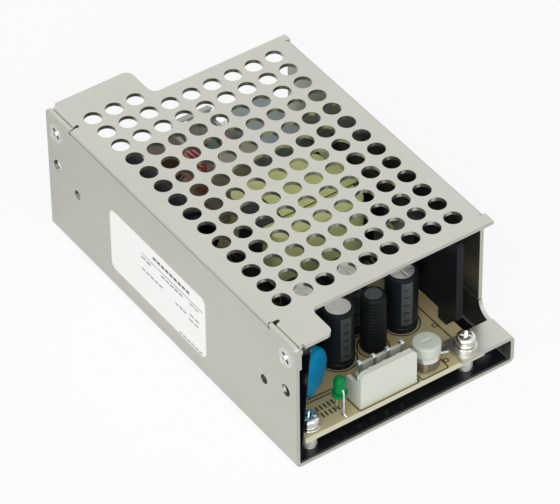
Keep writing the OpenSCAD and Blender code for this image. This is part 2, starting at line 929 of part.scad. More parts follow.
module bridge_rectifier() {
    color("#3a4038") from_corner()
        translate([board_right - bridge_edge - bridge[0],
            board_y + bridge_share * board_l - bridge[1] / 2, board_top + bridge_lift]) {
            difference() {
                cube(bridge);
                translate([0, -over, bridge[2] - bridge_cut / 2]) rotate([0, -45, 0])
                    cube([bridge_cut, bridge[1] + 2 * over, bridge_cut]);
            }
            for (i = [0:3])
                translate([bridge_lead_inset + i * bridge_pitch - bridge_lead[0] / 2,
                    (bridge[1] - bridge_lead[1]) / 2, -bridge_lift])
                    cube([bridge_lead[0], bridge_lead[1], bridge_lift + over]);
        }
}

// Thermistor disc on edge across the board
module thermistor() {
    color("#31403a") from_corner() on_board(thermistor_place) rotate([0, 0, 90]) {
        translate([0, 0, thermistor_lift + thermistor[0] / 2]) dipped_disc(thermistor);
        lead_pair(thermistor_lift + lead_bury);
    }
}

module line_fuse() {
    x = in_x - in_header_w / 2 - fuse_gap - fuse_d / 2;
    color("#3b2a22") from_corner() translate([x, length - fuse_edge, board_top])
        cylinder(h = fuse_h, d = fuse_d);
}

// Disc capacitor on edge and turned, held just off the board by its leads
module disc_capacitor() {
    color("#1a6fae") from_corner()
        translate([board_x + disc_edge, led_y + disc_behind, board_top]) rotate([0, 0, -disc_turn]) {
            translate([0, 0, disc_lift + disc[0] / 2]) dipped_disc(disc);
            lead_pair(disc_lift + lead_bury);
        }
}

module optocoupler() {
    color("#e8e6e0") from_corner() on_board(opto_place) {
        translate([-opto[0] / 2, -opto[1] / 2, opto_lift]) cube(opto);
        for (x = [-opto_pitch / 2, opto_pitch / 2], side = [-1, 1])
            translate([x - opto_lead[0] / 2, side * (opto[1] + opto_lead[1]) / 2 - opto_lead[1] / 2, 0])
                cube([opto_lead[0], opto_lead[1], opto_lift + opto[2] / 2]);
    }
}

// Axial resistors with a slight waist, on bent leads
module resistors() {
    half = resistor[0] / 2;
    r = resistor[1] / 2;
    color("#8fb0b8") from_corner() for (p = resistor_places) on_board(p) {
        translate([0, 0, resistor_lift]) rotate([0, 90, 0]) rotate_extrude($fn = fine_fn) {
            translate([0, -half]) square([r * resistor_waist, resistor[0]]);
            for (z = [-half, half - resistor_end]) translate([0, z]) square([r, resistor_end]);
            translate([0, -resistor_span]) square([resistor_wire / 2, 2 * resistor_span]);
        }
        for (x = [-resistor_span, resistor_span])
            translate([x, 0, 0])
                cylinder(h = resistor_lift + resistor_wire / 2, d = resistor_wire, $fn = small_fn);
    }
}

// ---------------------------------------------------------------- connectors

// Header's housing: locking wall in front, low base, slit end cheeks and a rib between pins
module header_housing(places) {
    w = (places - 1) * pin_pitch + 2 * header_end;
    cheek_y = header_wall_t + header_slit;
    difference() {
        translate([-w / 2, 0, 0]) {
            along_y(header_wall_t) polygon([[0, 0], [w, 0], [w, header_h - header_chamfer],
                [w - header_chamfer, header_h], [header_chamfer, header_h],
                [0, header_h - header_chamfer]]);
            cube([w, header_depth, header_base_h]);
            for (x = [0, w - header_cheek_t])
                translate([x, cheek_y, 0])
                    cube([header_cheek_t, header_depth - cheek_y, header_h * header_cheek_share]);
            for (i = [0:places - 2])
                translate([header_end + (i + 0.5) * pin_pitch - header_rib[0] / 2,
                    header_wall_t - over, 0])
                    cube([header_rib[0], header_rib[1] + over, header_h - header_rib[2]]);
        }
        translate([0, pin_row, -over]) along_pins(places)
            translate([-pin_side / 2, -pin_side / 2, 0])
                cube([pin_side, pin_side, header_base_h + 2 * over]);
    }
}

// Square pin with a bevelled tip, its tail through the board
module square_pin() {
    translate([-pin_side / 2, -pin_side / 2, -pin_tail])
        cube([pin_side, pin_side, pin_tail + pin_top - pin_tip]);
    translate([0, 0, pin_top - pin_tip]) rotate([0, 0, 45])
        cylinder(h = pin_tip, d1 = pin_side * sqrt(2), d2 = pin_side, $fn = 4);
}

module output_header() {
    color("#eceae2") from_corner() translate([out_x, header_y, board_top]) header_housing(out_pins);
}

module output_pins() {
    color("silver") from_corner() translate([out_x, header_y + pin_row, board_top])
        along_pins(out_pins) square_pin();
}

module input_header() {
    color("#eceae2") from_corner() translate([in_x, length - header_y, board_top])
        rotate([0, 0, 180]) header_housing(in_places);
}

module input_pins() {
    color("silver") from_corner() translate([in_x, length - header_y - pin_row, board_top])
        at_input_pins() square_pin();
}

// ---------------------------------------------------------------- indicator and trimmer

module indicator_led() {
    color("#17995a") from_corner() translate([led_x, led_y, board_top + led_lift]) {
        cylinder(h = led_flange_h, d = led_w);
        cylinder(h = led_body_h, d = led_d);
        translate([0, 0, led_body_h]) sphere(d = led_d, $fn = fine_fn);
    }
}

module led_leads() {
    color("silver") from_corner() for (side = [-1, 1])
        translate([led_x - led_lead / 2, led_y + side * led_pitch / 2 - led_lead / 2,
            board_top - pin_tail])
            cube([led_lead, led_lead, led_lift + pin_tail]);
}

// Bore that the knob's pivot turns in
module pivot_bore(h) {
    translate([0, 0, -over]) cylinder(h = h + 2 * over, d = pivot_d + 2 * run_gap);
}

module trimmer_base() {
    color("#7a6658") from_corner() translate([trim_x, trim_y, board_top]) difference() {
        union() {
            translate([0, 0, trim_foot[1] - gap])
                cylinder(h = trim_base_h - trim_foot[1] + gap, d = knob_d - 2 * trim_base_in);
            for (a = [90, 210, 330]) rotate([0, 0, a])
                translate([knob_d / 2 - trim_foot_in, -trim_foot[0] / 2, 0])
                    cube([trim_foot[0], trim_foot[0], trim_foot[1]]);
        }
        pivot_bore(trim_base_h);
    }
}

// Sprung contact ring between the base and the knob, with its soldering lug
module trimmer_contact() {
    color("silver") from_corner() translate([trim_x, trim_y, board_top + trim_base_h])
        difference() {
            union() {
                cylinder(h = trim_ring_h, d = knob_d - 2 * trim_ring_in);
                rotate([0, 0, trim_lug_turn])
                    translate([knob_d / 2 - trim_lug_in, -trim_lug[1] / 2, trim_lug_z])
                        cube(trim_lug);
            }
            pivot_bore(trim_ring_h);
        }
}

module trimmer_knob() {
    under = trim_base_h + trim_ring_h;
    slot_l = knob_d * knob_slot[0];
    color("#b9c4b6") from_corner() translate([trim_x, trim_y, board_top + under]) difference() {
        union() {
            translate([0, 0, run_gap]) cylinder(h = knob_h, d = knob_d);
            translate([0, 0, pivot_end - under]) cylinder(h = under, d = pivot_d);
        }
        translate([-slot_l / 2, -knob_slot[1] / 2, knob_h + run_gap - knob_slot[2]])
            cube([slot_l, knob_slot[1], knob_slot[2] + over]);
    }
}

// Nothing is drawn outside these lines
chassis();
cover();
cover_screws();
floor_film();
standoffs();
circuit_board();
board_screws();
spring_washers();
flat_washers();
output_heatsink();
output_rectifier();
input_heatsink();
switching_transistor();
transistor_screws();
transformer_core();
transformer_winding();
transformer_tape();
transformer_bobbin();
bulk_capacitor();
front_capacitors();
rear_capacitors();
rod_choke();
mains_capacitor();
film_capacitor();
line_choke_core();
line_choke_winding();
bridge_rectifier();
thermistor();
line_fuse();
disc_capacitor();
optocoupler();
resistors();
output_header();
output_pins();
input_header();
input_pins();
indicator_led();
led_leads();
trimmer_base();
trimmer_contact();
trimmer_knob();
rating_label();
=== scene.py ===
import json
import math

import bpy
import numpy as np
from bpy.props import FloatProperty, FloatVectorProperty, IntProperty, PointerProperty
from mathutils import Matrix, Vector


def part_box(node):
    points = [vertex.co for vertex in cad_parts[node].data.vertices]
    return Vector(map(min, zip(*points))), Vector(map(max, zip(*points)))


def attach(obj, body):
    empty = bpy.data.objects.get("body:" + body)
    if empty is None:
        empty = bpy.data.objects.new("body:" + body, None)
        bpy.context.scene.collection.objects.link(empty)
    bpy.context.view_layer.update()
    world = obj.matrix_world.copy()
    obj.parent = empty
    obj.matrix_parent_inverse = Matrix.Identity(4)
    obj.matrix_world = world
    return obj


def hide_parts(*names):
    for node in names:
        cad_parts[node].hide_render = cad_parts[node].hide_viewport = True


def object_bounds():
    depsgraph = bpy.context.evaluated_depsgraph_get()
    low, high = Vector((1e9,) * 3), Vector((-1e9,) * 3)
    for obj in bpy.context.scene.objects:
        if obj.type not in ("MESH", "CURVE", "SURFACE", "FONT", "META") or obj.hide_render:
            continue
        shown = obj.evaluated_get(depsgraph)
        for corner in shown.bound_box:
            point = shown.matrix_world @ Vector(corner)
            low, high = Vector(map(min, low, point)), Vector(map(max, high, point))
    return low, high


bl_info = {
    "name": "Open frame power supply",
    "version": (1, 0, 0),
    "blender": (4, 5, 0),
    "location": "View3D > Sidebar > Power supply",
    "description": "Finishes, fine parts and studio for a power supply in a perforated case",
    "category": "Object",
}

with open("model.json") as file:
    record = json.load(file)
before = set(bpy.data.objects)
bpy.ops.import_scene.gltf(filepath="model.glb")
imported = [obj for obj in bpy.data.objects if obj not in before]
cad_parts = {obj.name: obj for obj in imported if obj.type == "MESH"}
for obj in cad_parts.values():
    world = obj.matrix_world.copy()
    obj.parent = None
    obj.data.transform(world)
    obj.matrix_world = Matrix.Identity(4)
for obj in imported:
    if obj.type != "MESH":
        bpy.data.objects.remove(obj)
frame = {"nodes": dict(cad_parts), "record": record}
NODES = frame["nodes"]
CAD_BOX = [list(corner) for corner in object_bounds()]
MM = 0.001
BODY = "supply"
SHARP_ANGLE = 35
ALONG = np.array([0.0, 1.0, 0.0])
UP = np.array([0.0, 0.0, 1.0])


def span(node):
    """Lowest and highest corner of a CAD node, in millimetres."""
    low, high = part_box(node)
    return np.array(low) / MM, np.array(high) / MM


def middle(node):
    """Centre of a CAD node's box, in millimetres."""
    low, high = span(node)
    return (low + high) / 2


def board_top():
    """Height of the board's upper face, in millimetres."""
    return span("circuit_board")[1][2]


# ---------------------------- settings


def length(name, text, default):
    """A size in millimetres kept as a length."""
    return FloatProperty(name=name, description=text, default=default * MM, min=0.0, unit="LENGTH")


def colour(name, text, default):
    """A linear colour."""
    return FloatVectorProperty(
        name=name, description=text, default=default, size=3, min=0.0, max=1.0, subtype="COLOR"
    )


class SupplySettings(bpy.types.PropertyGroup):
    """Sizes and colours that a user would change."""

    steel: colour("Case", "Plated steel of the case", (0.590, 0.588, 0.530))
    board: colour("Board", "Laminate of the board", (0.500, 0.430, 0.235))
    tape: colour("Tape", "Tape round the transformer", (0.930, 0.980, 0.440))
    winding: colour("Winding", "Lacquered wire of the line choke", (0.700, 0.190, 0.170))
    sleeve: colour("Sleeve", "Printed sleeve of the capacitors", (0.011, 0.015, 0.018))
    lens: colour("Lens", "Body of the indicator", (0.000, 0.220, 0.055))
    knob: colour("Knob", "Knob of the trimmer", (0.540, 0.585, 0.500))
    print_ink: colour("Print", "Ink of the rules on the label", (0.060, 0.060, 0.060))
    front_can: length("Front can", "Diameter of the front capacitors", 8.0)
    rear_can: length("Rear can", "Diameter of the rear capacitors", 10.0)
    score: length("Vent score", "Width of the scores in a can's lid", 0.22)
    rib: length("Sleeve rib", "Distance between the ribs of the rod choke's sleeve", 1.0)
    wire: length("Choke wire", "Diameter of the line choke's wire", 0.85)
    line: length("Board print", "Width of the lines printed on the board", 0.36)
    turns: IntProperty(
        name="Choke turns", description="Turns in each winding layer", default=8, min=2, max=12
    )


def settings():
    """The scene's settings."""
    return bpy.context.scene.power_supply


# ---------------------------- node groups


def group_sockets(name, inputs, outputs):
    """An empty shader group whose sockets are floats (f) or colours (c)."""
    group = bpy.data.node_groups.new(name, "ShaderNodeTree")
    kinds = {"f": "NodeSocketFloat", "c": "NodeSocketColor"}
    for label, kind, default in inputs:
        made = group.interface.new_socket(label, in_out="INPUT", socket_type=kinds[kind])
        made.default_value = default
    for label, kind in outputs:
        group.interface.new_socket(label, in_out="OUTPUT", socket_type=kinds[kind])
    return group, group.nodes.new("NodeGroupInput"), group.nodes.new("NodeGroupOutput")


def feed(tree, target, value):
    """Link a socket to an input, or set the input to a number or a colour."""
    if isinstance(value, bpy.types.NodeSocket):
        tree.links.new(value, target)
    else:
        target.default_value = (*value, 1.0) if isinstance(value, tuple) else value


def add(tree, kind, **inputs):
    """A new node whose inputs are sockets, numbers or colours."""
    made = tree.nodes.new(kind)
    for label, value in inputs.items():
        feed(tree, made.inputs[label], value)
    return made


def math_node(tree, operation, *values, clamp=False):
    """A Math node on sockets or numbers."""
    made = tree.nodes.new("ShaderNodeMath")
    made.operation = operation
    made.use_clamp = clamp
    for target, value in zip(made.inputs, values):
        feed(tree, target, value)
    return made.outputs[0]


def blend_colours(tree, factor, a, b, mode="MIX"):
    """A colour Mix node; a and b are sockets or colours."""
    made = tree.nodes.new("ShaderNodeMix")
    made.data_type = "RGBA"
    made.blend_type = mode
    # by index, since the sockets of its types share their names
    for index, value in ((0, factor), (6, a), (7, b)):
        feed(tree, made.inputs[index], value)
    return made.outputs[2]


def noise(tree, place, scale, detail, roughness):
    """Noise from 0 to 1 at a place, about a half."""
    inputs = {"Vector": place, "Scale": scale, "Detail": detail, "Roughness": roughness}
    return add(tree, "ShaderNodeTexNoise", **inputs).outputs["Fac"]


def build_mottle():
    """Slow drift of tone plus fine speckle: colour times 1 + 2 (patch + grain), where each of
    the two is noise about zero times its amount."""
    group, gin, gout = group_sockets(
        "mottle",
        [
            ("Color", "c", (0.5, 0.5, 0.5, 1.0)),
            ("Roughness", "f", 0.4),
            ("Patch scale", "f", 60.0),
            ("Patch amount", "f", 0.06),
            ("Grain scale", "f", 2500.0),
            ("Grain amount", "f", 0.03),
            ("Roughness amount", "f", 0.08),
        ],
        [("Color", "c"), ("Roughness", "f"), ("Height", "f")],
    )
    given = gin.outputs
    place = add(group, "ShaderNodeTexCoord").outputs["Object"]
    patch = noise(group, place, given["Patch scale"], 3.0, 0.55)
    grain = noise(group, place, given["Grain scale"], 2.0, 0.6)
    patch_off = math_node(group, "SUBTRACT", patch, 0.5)
    grain_off = math_node(group, "SUBTRACT", grain, 0.5)
    patch_part = math_node(group, "MULTIPLY", patch_off, given["Patch amount"])
    grain_part = math_node(group, "MULTIPLY", grain_off, given["Grain amount"])
    shift = math_node(group, "ADD", patch_part, grain_part)
    gain = math_node(group, "MULTIPLY_ADD", shift, 2.0, 1.0)
    grey = add(group, "ShaderNodeCombineColor", Red=gain, Green=gain, Blue=gain)
    tone = blend_colours(group, 1.0, given["Color"], grey.outputs["Color"], "MULTIPLY")
    rough_part = math_node(group, "MULTIPLY", patch_off, given["Roughness amount"])
    rough = math_node(group, "ADD", rough_part, given["Roughness"], clamp=True)
    group.links.new(tone, gout.inputs["Color"])
    group.links.new(rough, gout.inputs["Roughness"])
    group.links.new(grain, gout.inputs["Height"])
    return group


def build_rolling_lines():
    """Rolling lines of sheet metal: noise squeezed along Y, so that it runs in long streaks."""
    group, gin, gout = group_sockets(
        "rolling_lines", [("Scale", "f", 900.0), ("Stretch", "f", 0.02)], [("Height", "f")]
    )
    place = add(group, "ShaderNodeTexCoord").outputs["Object"]
    x, y, z = add(group, "ShaderNodeSeparateXYZ", Vector=place).outputs
    squeezed = math_node(group, "MULTIPLY", y, gin.outputs["Stretch"])
    streaks = add(group, "ShaderNodeCombineXYZ", X=x, Y=squeezed, Z=z).outputs["Vector"]
    height = noise(group, streaks, gin.outputs["Scale"], 4.0, 0.7)
    group.links.new(height, gout.inputs["Height"])
    return group


MAKERS = {"mottle": build_mottle, "rolling_lines": build_rolling_lines}


def group_node(tree, name):
    """A node of the shader group of that name, which is built on first use."""
    made = tree.nodes.new("ShaderNodeGroup")
    made.node_tree = bpy.data.node_groups.get(name) or MAKERS[name]()
    return made


# ---------------------------- finishes

# name: colour or the setting that holds it, metallic, roughness, patch amount,
# grain amount, roughness amount, bump, coat; names in DULL reflect less than plain plastic
FINISHES = {
    "plated_steel": ("steel", 0.95, 0.30, 0.05, 0.02, 0.10, 0.03, 0.0),
    "bright_screw": ((0.720, 0.715, 0.680), 1.0, 0.14, 0.05, 0.02, 0.08, 0.01, 0.0),
    "black_film": ((0.006, 0.008, 0.011), 0.0, 0.24, 0.10, 0.02, 0.04, 0.0, 0.0),
    "board_laminate": ("board", 0.0, 0.36, 0.12, 0.10, 0.08, 0.03, 0.2),
    "black_anodised": ((0.010, 0.012, 0.015), 0.2, 0.30, 0.15, 0.08, 0.08, 0.02, 0.0),
    "black_moulding": ((0.018, 0.018, 0.020), 0.0, 0.46, 0.12, 0.10, 0.08, 0.04, 0.0),
    "dark_moulding": ((0.040, 0.050, 0.038), 0.0, 0.42, 0.12, 0.10, 0.08, 0.04, 0.0),
    "ferrite": ((0.028, 0.029, 0.031), 0.1, 0.50, 0.15, 0.15, 0.08, 0.05, 0.0),
    "green_core": ((0.030, 0.100, 0.058), 0.0, 0.35, 0.10, 0.06, 0.05, 0.02, 0.2),
    "yellow_tape": ("tape", 0.0, 0.26, 0.10, 0.02, 0.06, 0.01, 0.3),
    "red_wire": ("winding", 0.0, 0.24, 0.10, 0.04, 0.05, 0.0, 0.4),
    "capacitor_sleeve": ("sleeve", 0.0, 0.30, 0.10, 0.04, 0.06, 0.01, 0.0),
    "grey_box": ((0.400, 0.500, 0.510), 0.0, 0.34, 0.08, 0.05, 0.06, 0.02, 0.0),
    "brown_box": ((0.480, 0.430, 0.350), 0.0, 0.34, 0.08, 0.05, 0.06, 0.02, 0.1),
    "black_sleeve": ((0.008, 0.011, 0.012), 0.0, 0.34, 0.10, 0.06, 0.08, 0.02, 0.0),
    "blue_ceramic": ((0.000, 0.270, 0.520), 0.0, 0.34, 0.10, 0.04, 0.06, 0.02, 0.0),
    "green_ceramic": ((0.110, 0.100, 0.075), 0.0, 0.40, 0.12, 0.08, 0.06, 0.03, 0.1),
    "brown_phenolic": ((0.130, 0.092, 0.065), 0.0, 0.44, 0.14, 0.12, 0.06, 0.03, 0.0),
    "white_nylon": ((0.660, 0.685, 0.600), 0.0, 0.38, 0.04, 0.02, 0.06, 0.01, 0.0),
    "tinned_metal": ((0.860, 0.860, 0.840), 1.0, 0.22, 0.06, 0.03, 0.10, 0.01, 0.0),
    "green_lens": ("lens", 0.0, 0.16, 0.04, 0.00, 0.02, 0.0, 0.0),
    "knob_plastic": ("knob", 0.0, 0.40, 0.05, 0.03, 0.05, 0.02, 0.0),
    "blue_resistor": ((0.130, 0.250, 0.290), 0.0, 0.30, 0.06, 0.03, 0.05, 0.01, 0.2),
    "pale_moulding": ((0.550, 0.540, 0.490), 0.0, 0.45, 0.06, 0.05, 0.05, 0.02, 0.0),
    "label_film": ((0.860, 0.860, 0.840), 0.0, 0.36, 0.015, 0.01, 0.04, 0.0, 0.0),
    "can_metal": ((0.760, 0.760, 0.740), 0.9, 0.34, 0.08, 0.03, 0.10, 0.02, 0.0),
    "stripe_ink": ((0.060, 0.072, 0.074), 0.0, 0.40, 0.35, 0.60, 0.10, 0.0, 0.0),
    "dash_ink": ((0.016, 0.020, 0.026), 0.0, 0.35, 0.10, 0.05, 0.05, 0.0, 0.0),
    "board_ink": ((0.050, 0.042, 0.020), 0.0, 0.55, 0.25, 0.25, 0.10, 0.0, 0.0),
    "label_ink": ("print_ink", 0.0, 0.45, 0.10, 0.05, 0.05, 0.0, 0.0),
    "solder": ((0.600, 0.600, 0.590), 1.0, 0.20, 0.10, 0.06, 0.12, 0.01, 0.0),
    "tan_clip": ((0.330, 0.290, 0.200), 0.6, 0.30, 0.10, 0.05, 0.08, 0.01, 0.0),
    # the rod choke's bare end; its grey, lighter than bare ferrite, is a painted highlight on its
    # flat top
    "rod_end_and_highlight": ((0.060, 0.074, 0.074), 0.0, 0.50, 0.20, 0.20, 0.08, 0.03, 0.0),
    "post_tin": ((0.820, 0.820, 0.790), 0.35, 0.25, 0.05, 0.02, 0.08, 0.01, 0.0),
    # the bulk capacitor's sleeve: a black sleeve made darker than the others, which is painted
    # shade from the perforated cover over it
    "shaded_bulk_sleeve": ((0.002, 0.003, 0.008), 0.0, 0.45, 0.10, 0.04, 0.06, 0.01, 0.0),
    "film_fold": ((0.006, 0.008, 0.011), 0.0, 0.20, 0.10, 0.02, 0.04, 0.0, 0.0),
}
DULL = (
    "capacitor_sleeve",
    "shaded_bulk_sleeve",
    "black_sleeve",
    "black_anodised",
    "film_fold",
    "blue_ceramic",
    "green_lens",
)
DULL_SPECULAR = 0.12
CUT_EDGE = (0.640, 0.600, 0.440)
JOINT_SHADE = (0.140, 0.140, 0.120)
BUMP_DEPTH = 0.1 * MM
# thickness of the case's sheet, length of its corner ears and width of the dark line between
# its two halves, in millimetres
SHEET = 1.0
EAR = 10.5
JOINT_LINE = 0.24


def make_finish(name):
    """A material with mottled colour and roughness, grain bump, and the shader's own values."""
    tone, metallic, roughness, patch, grain, rough_amount, bump, coat = FINISHES[name]
    if isinstance(tone, str):
        tone = getattr(settings(), tone)
    made = bpy.data.materials.new(f"{name}_finish")
    made.use_nodes = True
    made.diffuse_color = (*tone, 1.0)
    tree = made.node_tree
    shader = tree.nodes["Principled BSDF"].inputs
    shader["Metallic"].default_value = metallic
    shader["Coat Weight"].default_value = coat
    if name in DULL:
        shader["Specular IOR Level"].default_value = DULL_SPECULAR
    mottle = group_node(tree, "mottle")
    for label, value in (
        ("Color", (*tone, 1.0)),
        ("Roughness", roughness),
        ("Patch amount", patch),
        ("Grain amount", grain),
        ("Roughness amount", rough_amount),
    ):
        mottle.inputs[label].default_value = value
    face, height = mottle.outputs["Color"], mottle.outputs["Height"]
    if name == "plated_steel":
        face = with_cover_joint(tree, face)
        height = group_node(tree, "rolling_lines").outputs["Height"]
    if name == "board_laminate":
        face = with_cut_edge(tree, face)
    tree.links.new(face, shader["Base Color"])
    tree.links.new(mottle.outputs["Roughness"], shader["Roughness"])
    if bump:
        bumped = add(tree, "ShaderNodeBump", Height=height, Strength=bump, Distance=BUMP_DEPTH)
        tree.links.new(bumped.outputs["Normal"], shader["Normal"])
    return made


def with_cover_joint(tree, face):
    """The face's colour, with a dark line where the cover's plate lies on the labelled wall."""
    place = add(tree, "ShaderNodeTexCoord").outputs["Object"]
    x, y, z = add(tree, "ShaderNodeSeparateXYZ", Vector=place).outputs
    low, high = span("cover")
    joint = (high[2] - SHEET) * MM
    rise = math_node(tree, "ABSOLUTE", math_node(tree, "SUBTRACT", z, joint))
    run = math_node(tree, "ABSOLUTE", y)
    mask = 1.0
    for value, limit in ((rise, JOINT_LINE / 2), (run, high[1] - EAR), (x, low[0] + SHEET / 2)):
        inside = math_node(tree, "LESS_THAN", value, limit * MM)
        mask = math_node(tree, "MULTIPLY", mask, inside)
    return blend_colours(tree, mask, face, JOINT_SHADE)


def with_cut_edge(tree, face):
    """The face's colour, with the pale colour of a sawn edge on the upright faces."""
    facing = add(tree, "ShaderNodeTexCoord").outputs["Normal"]
    z = add(tree, "ShaderNodeSeparateXYZ", Vector=facing).outputs["Z"]
    upright = math_node(tree, "LESS_THAN", math_node(tree, "ABSOLUTE", z), 0.5)
    return blend_colours(tree, upright, face, CUT_EDGE)


def finish(name):
    """The finish's material, made on first use."""
    return bpy.data.materials.get(f"{name}_finish") or make_finish(name)


# nodes whose finish differs from the others of their slot; the bulk capacitor's sleeve is darkened
# with painted shade from the cover over it
OWN_FINISH = {"standoffs": "post_tin", "bulk_capacitor": "shaded_bulk_sleeve"}


def dress_nodes():
    """Every CAD node gets its own finish or the one that its record slot names."""
    for row in frame["record"]["subparts"]:
        mesh = NODES[row["node"]].data
        mesh.materials.clear()
        mesh.materials.append(finish(OWN_FINISH.get(row["node"], row["material_slot"])))


# ---------------------------- shapes, in millimetres

PRINT_HEIGHT = 0.03


def grid_faces(rows, cols, close_rows=False):
    """Quads between closed rings of points, one ring to a row; (step round a ring) x (step to
    the next ring) points outwards."""
    r = np.arange(rows if close_rows else rows - 1)
    a, b = (m.ravel() for m in np.meshgrid(r, np.arange(cols), indexing="ij"))
    a1, b1 = (a + 1) % rows, (b + 1) % cols
    quads = np.stack([a * cols + b, a * cols + b1, a1 * cols + b1, a1 * cols + b], -1)
    return quads.tolist()


def closed_rings(rings, low, high):
    """Rings of points stacked from a bottom pole to a top one, anticlockwise seen from above."""
    rows, sides = rings.shape[:2]
    bottom, last = rows * sides, (rows - 1) * sides
    steps = [(b, (b + 1) % sides) for b in range(sides)]
    faces = grid_faces(rows, sides)
    faces += [[bottom, b1, b] for b, b1 in steps]
    faces += [[bottom + 1, last + b, last + b1] for b, b1 in steps]
    return np.vstack([rings.reshape(-1, 3), low, high]), faces


def around(r, sides):
    """X and Y of points round the origin at distance r, anticlockwise."""
    a = np.arange(sides) * 2 * np.pi / sides
    return r * np.cos(a), r * np.sin(a)


def circle(r, sides):
    """Outline of a circle of radius r about the origin."""
    return np.stack(around(r, sides), -1)


def lathe(profile, centre, sides):
    """Solid of revolution about Z: (r cos a, r sin a, z), from the bottom pole to the top one."""
    profile = np.asarray(profile, float)
    x, y = around(profile[1:-1, :1], sides)
    rings = np.stack([x, y, profile[1:-1, 1:] + 0 * x], -1)
    points, faces = closed_rings(rings, [0, 0, profile[0, 1]], [0, 0, profile[-1, 1]])
    return points + np.asarray(centre, float), faces


def scored_lid(centre, radius, thickness, depth, width):
    """Round lid with a cross pressed in: z = -depth exp(-(d / width)^2) inside three quarters
    of the radius, where d is the distance to the nearer arm of the cross."""
    rows, sides = 28, 120
    x, y = around(radius * np.append([1.0], np.linspace(1.0, 0.03, rows))[:, None], sides)
    d = np.minimum(np.abs(x), np.abs(y))
    fade = 1 / (1 + np.exp((np.hypot(x, y) - 0.75 * radius) / (0.02 * radius)))
    z = -depth * np.exp(-((d / width) ** 2)) * fade
    z[0] = -thickness
    rings = np.stack([x, y, z], -1)
    points, faces = closed_rings(rings, [0, 0, -thickness], [0, 0, -depth])
    return points + np.asarray(centre, float), faces


def sweep(path, across, up, section, closed=False):
    """A section carried along a path: path + section x across + section y up, ends capped.
    The section runs anticlockwise, and across x up is the way along."""
    path, section = np.asarray(path, float), np.asarray(section, float)
    across = np.broadcast_to(across, path.shape)[:, None, :]
    up = np.broadcast_to(up, path.shape)[:, None, :]
    sx, sy = section[None, :, :1], section[None, :, 1:]
    points = (path[:, None, :] + sx * across + sy * up).reshape(-1, 3)
    n = len(section)
    faces = grid_faces(len(path), n, close_rows=closed)
    if not closed:
        faces.append(list(range(n))[::-1])
        faces.append(list(range((len(path) - 1) * n, len(path) * n)))
    return points, faces


def strip(a, b, t):
    """A rectangular section, from a to b across and from 0 to t up."""
    return [[a, 0], [b, 0], [b, t], [a, t]]


def unit(vectors):
    """The vectors scaled to a length of one."""
    return vectors / np.linalg.norm(vectors, axis=-1, keepdims=True)


def headings(a):
    """Level unit vectors at angles a from +X."""
    return np.stack([np.cos(a), np.sin(a), 0 * a], -1)


def wire(path, r, flat, sides=10):
    """A round wire along a path; flat is roughly square to the path all along it."""
    path = np.asarray(path, float)
    flat = np.broadcast_to(np.asarray(flat, float), path.shape)
    along = unit(np.gradient(path, axis=0))
    up = unit(flat - along * (along * flat).sum(1, keepdims=True))
    return sweep(path, np.cross(up, along), up, circle(r, sides))


def smooth_path(corners, r):
    """A path through corners, each inner corner rounded by a quadratic arc r before and after."""
    corners = np.asarray(corners, float)
    inner = corners[1:-1]
    back = r * unit(corners[:-2] - inner)
    ahead = r * unit(corners[2:] - inner)
    t = np.linspace(0, 1, 6)[None, :, None]
    bend = inner[:, None] + back[:, None] * (1 - t) ** 2 + ahead[:, None] * t**2
    return np.vstack([corners[:1], bend.reshape(-1, 3), corners[-1:]])


def blocks(lows, highs):
    """Axis-aligned blocks between pairs of corners."""
    lows, highs = np.atleast_2d(lows).astype(float), np.atleast_2d(highs).astype(float)
    pick = np.array([[i & 1, (i >> 1) & 1, (i >> 2) & 1] for i in range(8)])
    points = (lows[:, None] + pick[None] * (highs - lows)[:, None]).reshape(-1, 3)
    one = np.array(
        [[0, 2, 3, 1], [4, 5, 7, 6], [0, 1, 5, 4], [2, 6, 7, 3], [0, 4, 6, 2], [1, 3, 7, 5]]
    )
    faces = (one[None] + 8 * np.arange(len(lows))[:, None, None]).reshape(-1, 4)
    return points, faces.tolist()


def wrapped_patch(centre, r, t, angle, width, z0, z1, steps=8):
    """A thin patch on an upright can: a z0 to z1 by t section turned through its width."""
    half = width / r / 2
    out = headings(np.linspace(angle - half, angle + half, steps))
    path = np.array([centre[0], centre[1], 0.0]) + out * r
    return sweep(path, UP, out, strip(z0, z1, t))


def rounded_rectangle(low, high, r, steps):
    """Anticlockwise outline of a rectangle with quarter circles of radius r for corners."""
    x0, y0, x1, y1 = low[0], low[1], high[0], high[1]
    a = np.linspace(0, np.pi / 2, steps)[None, :] + np.array([-1, 0, 1, 2])[:, None] * np.pi / 2
    corner = np.array([[x1 - r, y0 + r], [x1 - r, y1 - r], [x0 + r, y1 - r], [x0 + r, y0 + r]])
    points = corner[:, None, :] + r * np.stack([np.cos(a), np.sin(a)], -1)
    return points.reshape(-1, 2)


def printed_line(points, width, z, closed=True):
    """A line of that width round a flat outline at height z, mitred at its corners: the offset
    is (n0 + n1) / (1 + n0 . n1) for the normals n0 and n1 of the edges that meet."""
    flat = np.asarray(points, float)
    edge = np.roll(flat, -1, 0) - flat
    if not closed:
        edge[-1] = edge[-2]
    edge = unit(edge)
    normal = np.stack([-edge[:, 1], edge[:, 0]], -1)
    before = np.roll(normal, 1, 0)
    if not closed:
        before[0] = normal[0]
    offset = (before + normal) / (1 + (before * normal).sum(1, keepdims=True))
    path = np.column_stack([flat, np.full(len(flat), z)])
    across = np.column_stack([offset, np.zeros(len(flat))])
    return sweep(path, across, UP, strip(-width / 2, width / 2, PRINT_HEIGHT), closed)


def joined(shapes):
    """Several shapes as one: points stacked, faces renumbered."""
    points, faces, start = [], [], 0
    for more_points, more_faces in shapes:
        points.append(more_points)
        faces += [[start + i for i in face] for face in more_faces]
        start += len(more_points)
    return np.vstack(points), faces


def place_object(name, data):
    """A new object in the scene."""
    made = bpy.data.objects.new(name, data)
    bpy.context.scene.collection.objects.link(made)
    return made


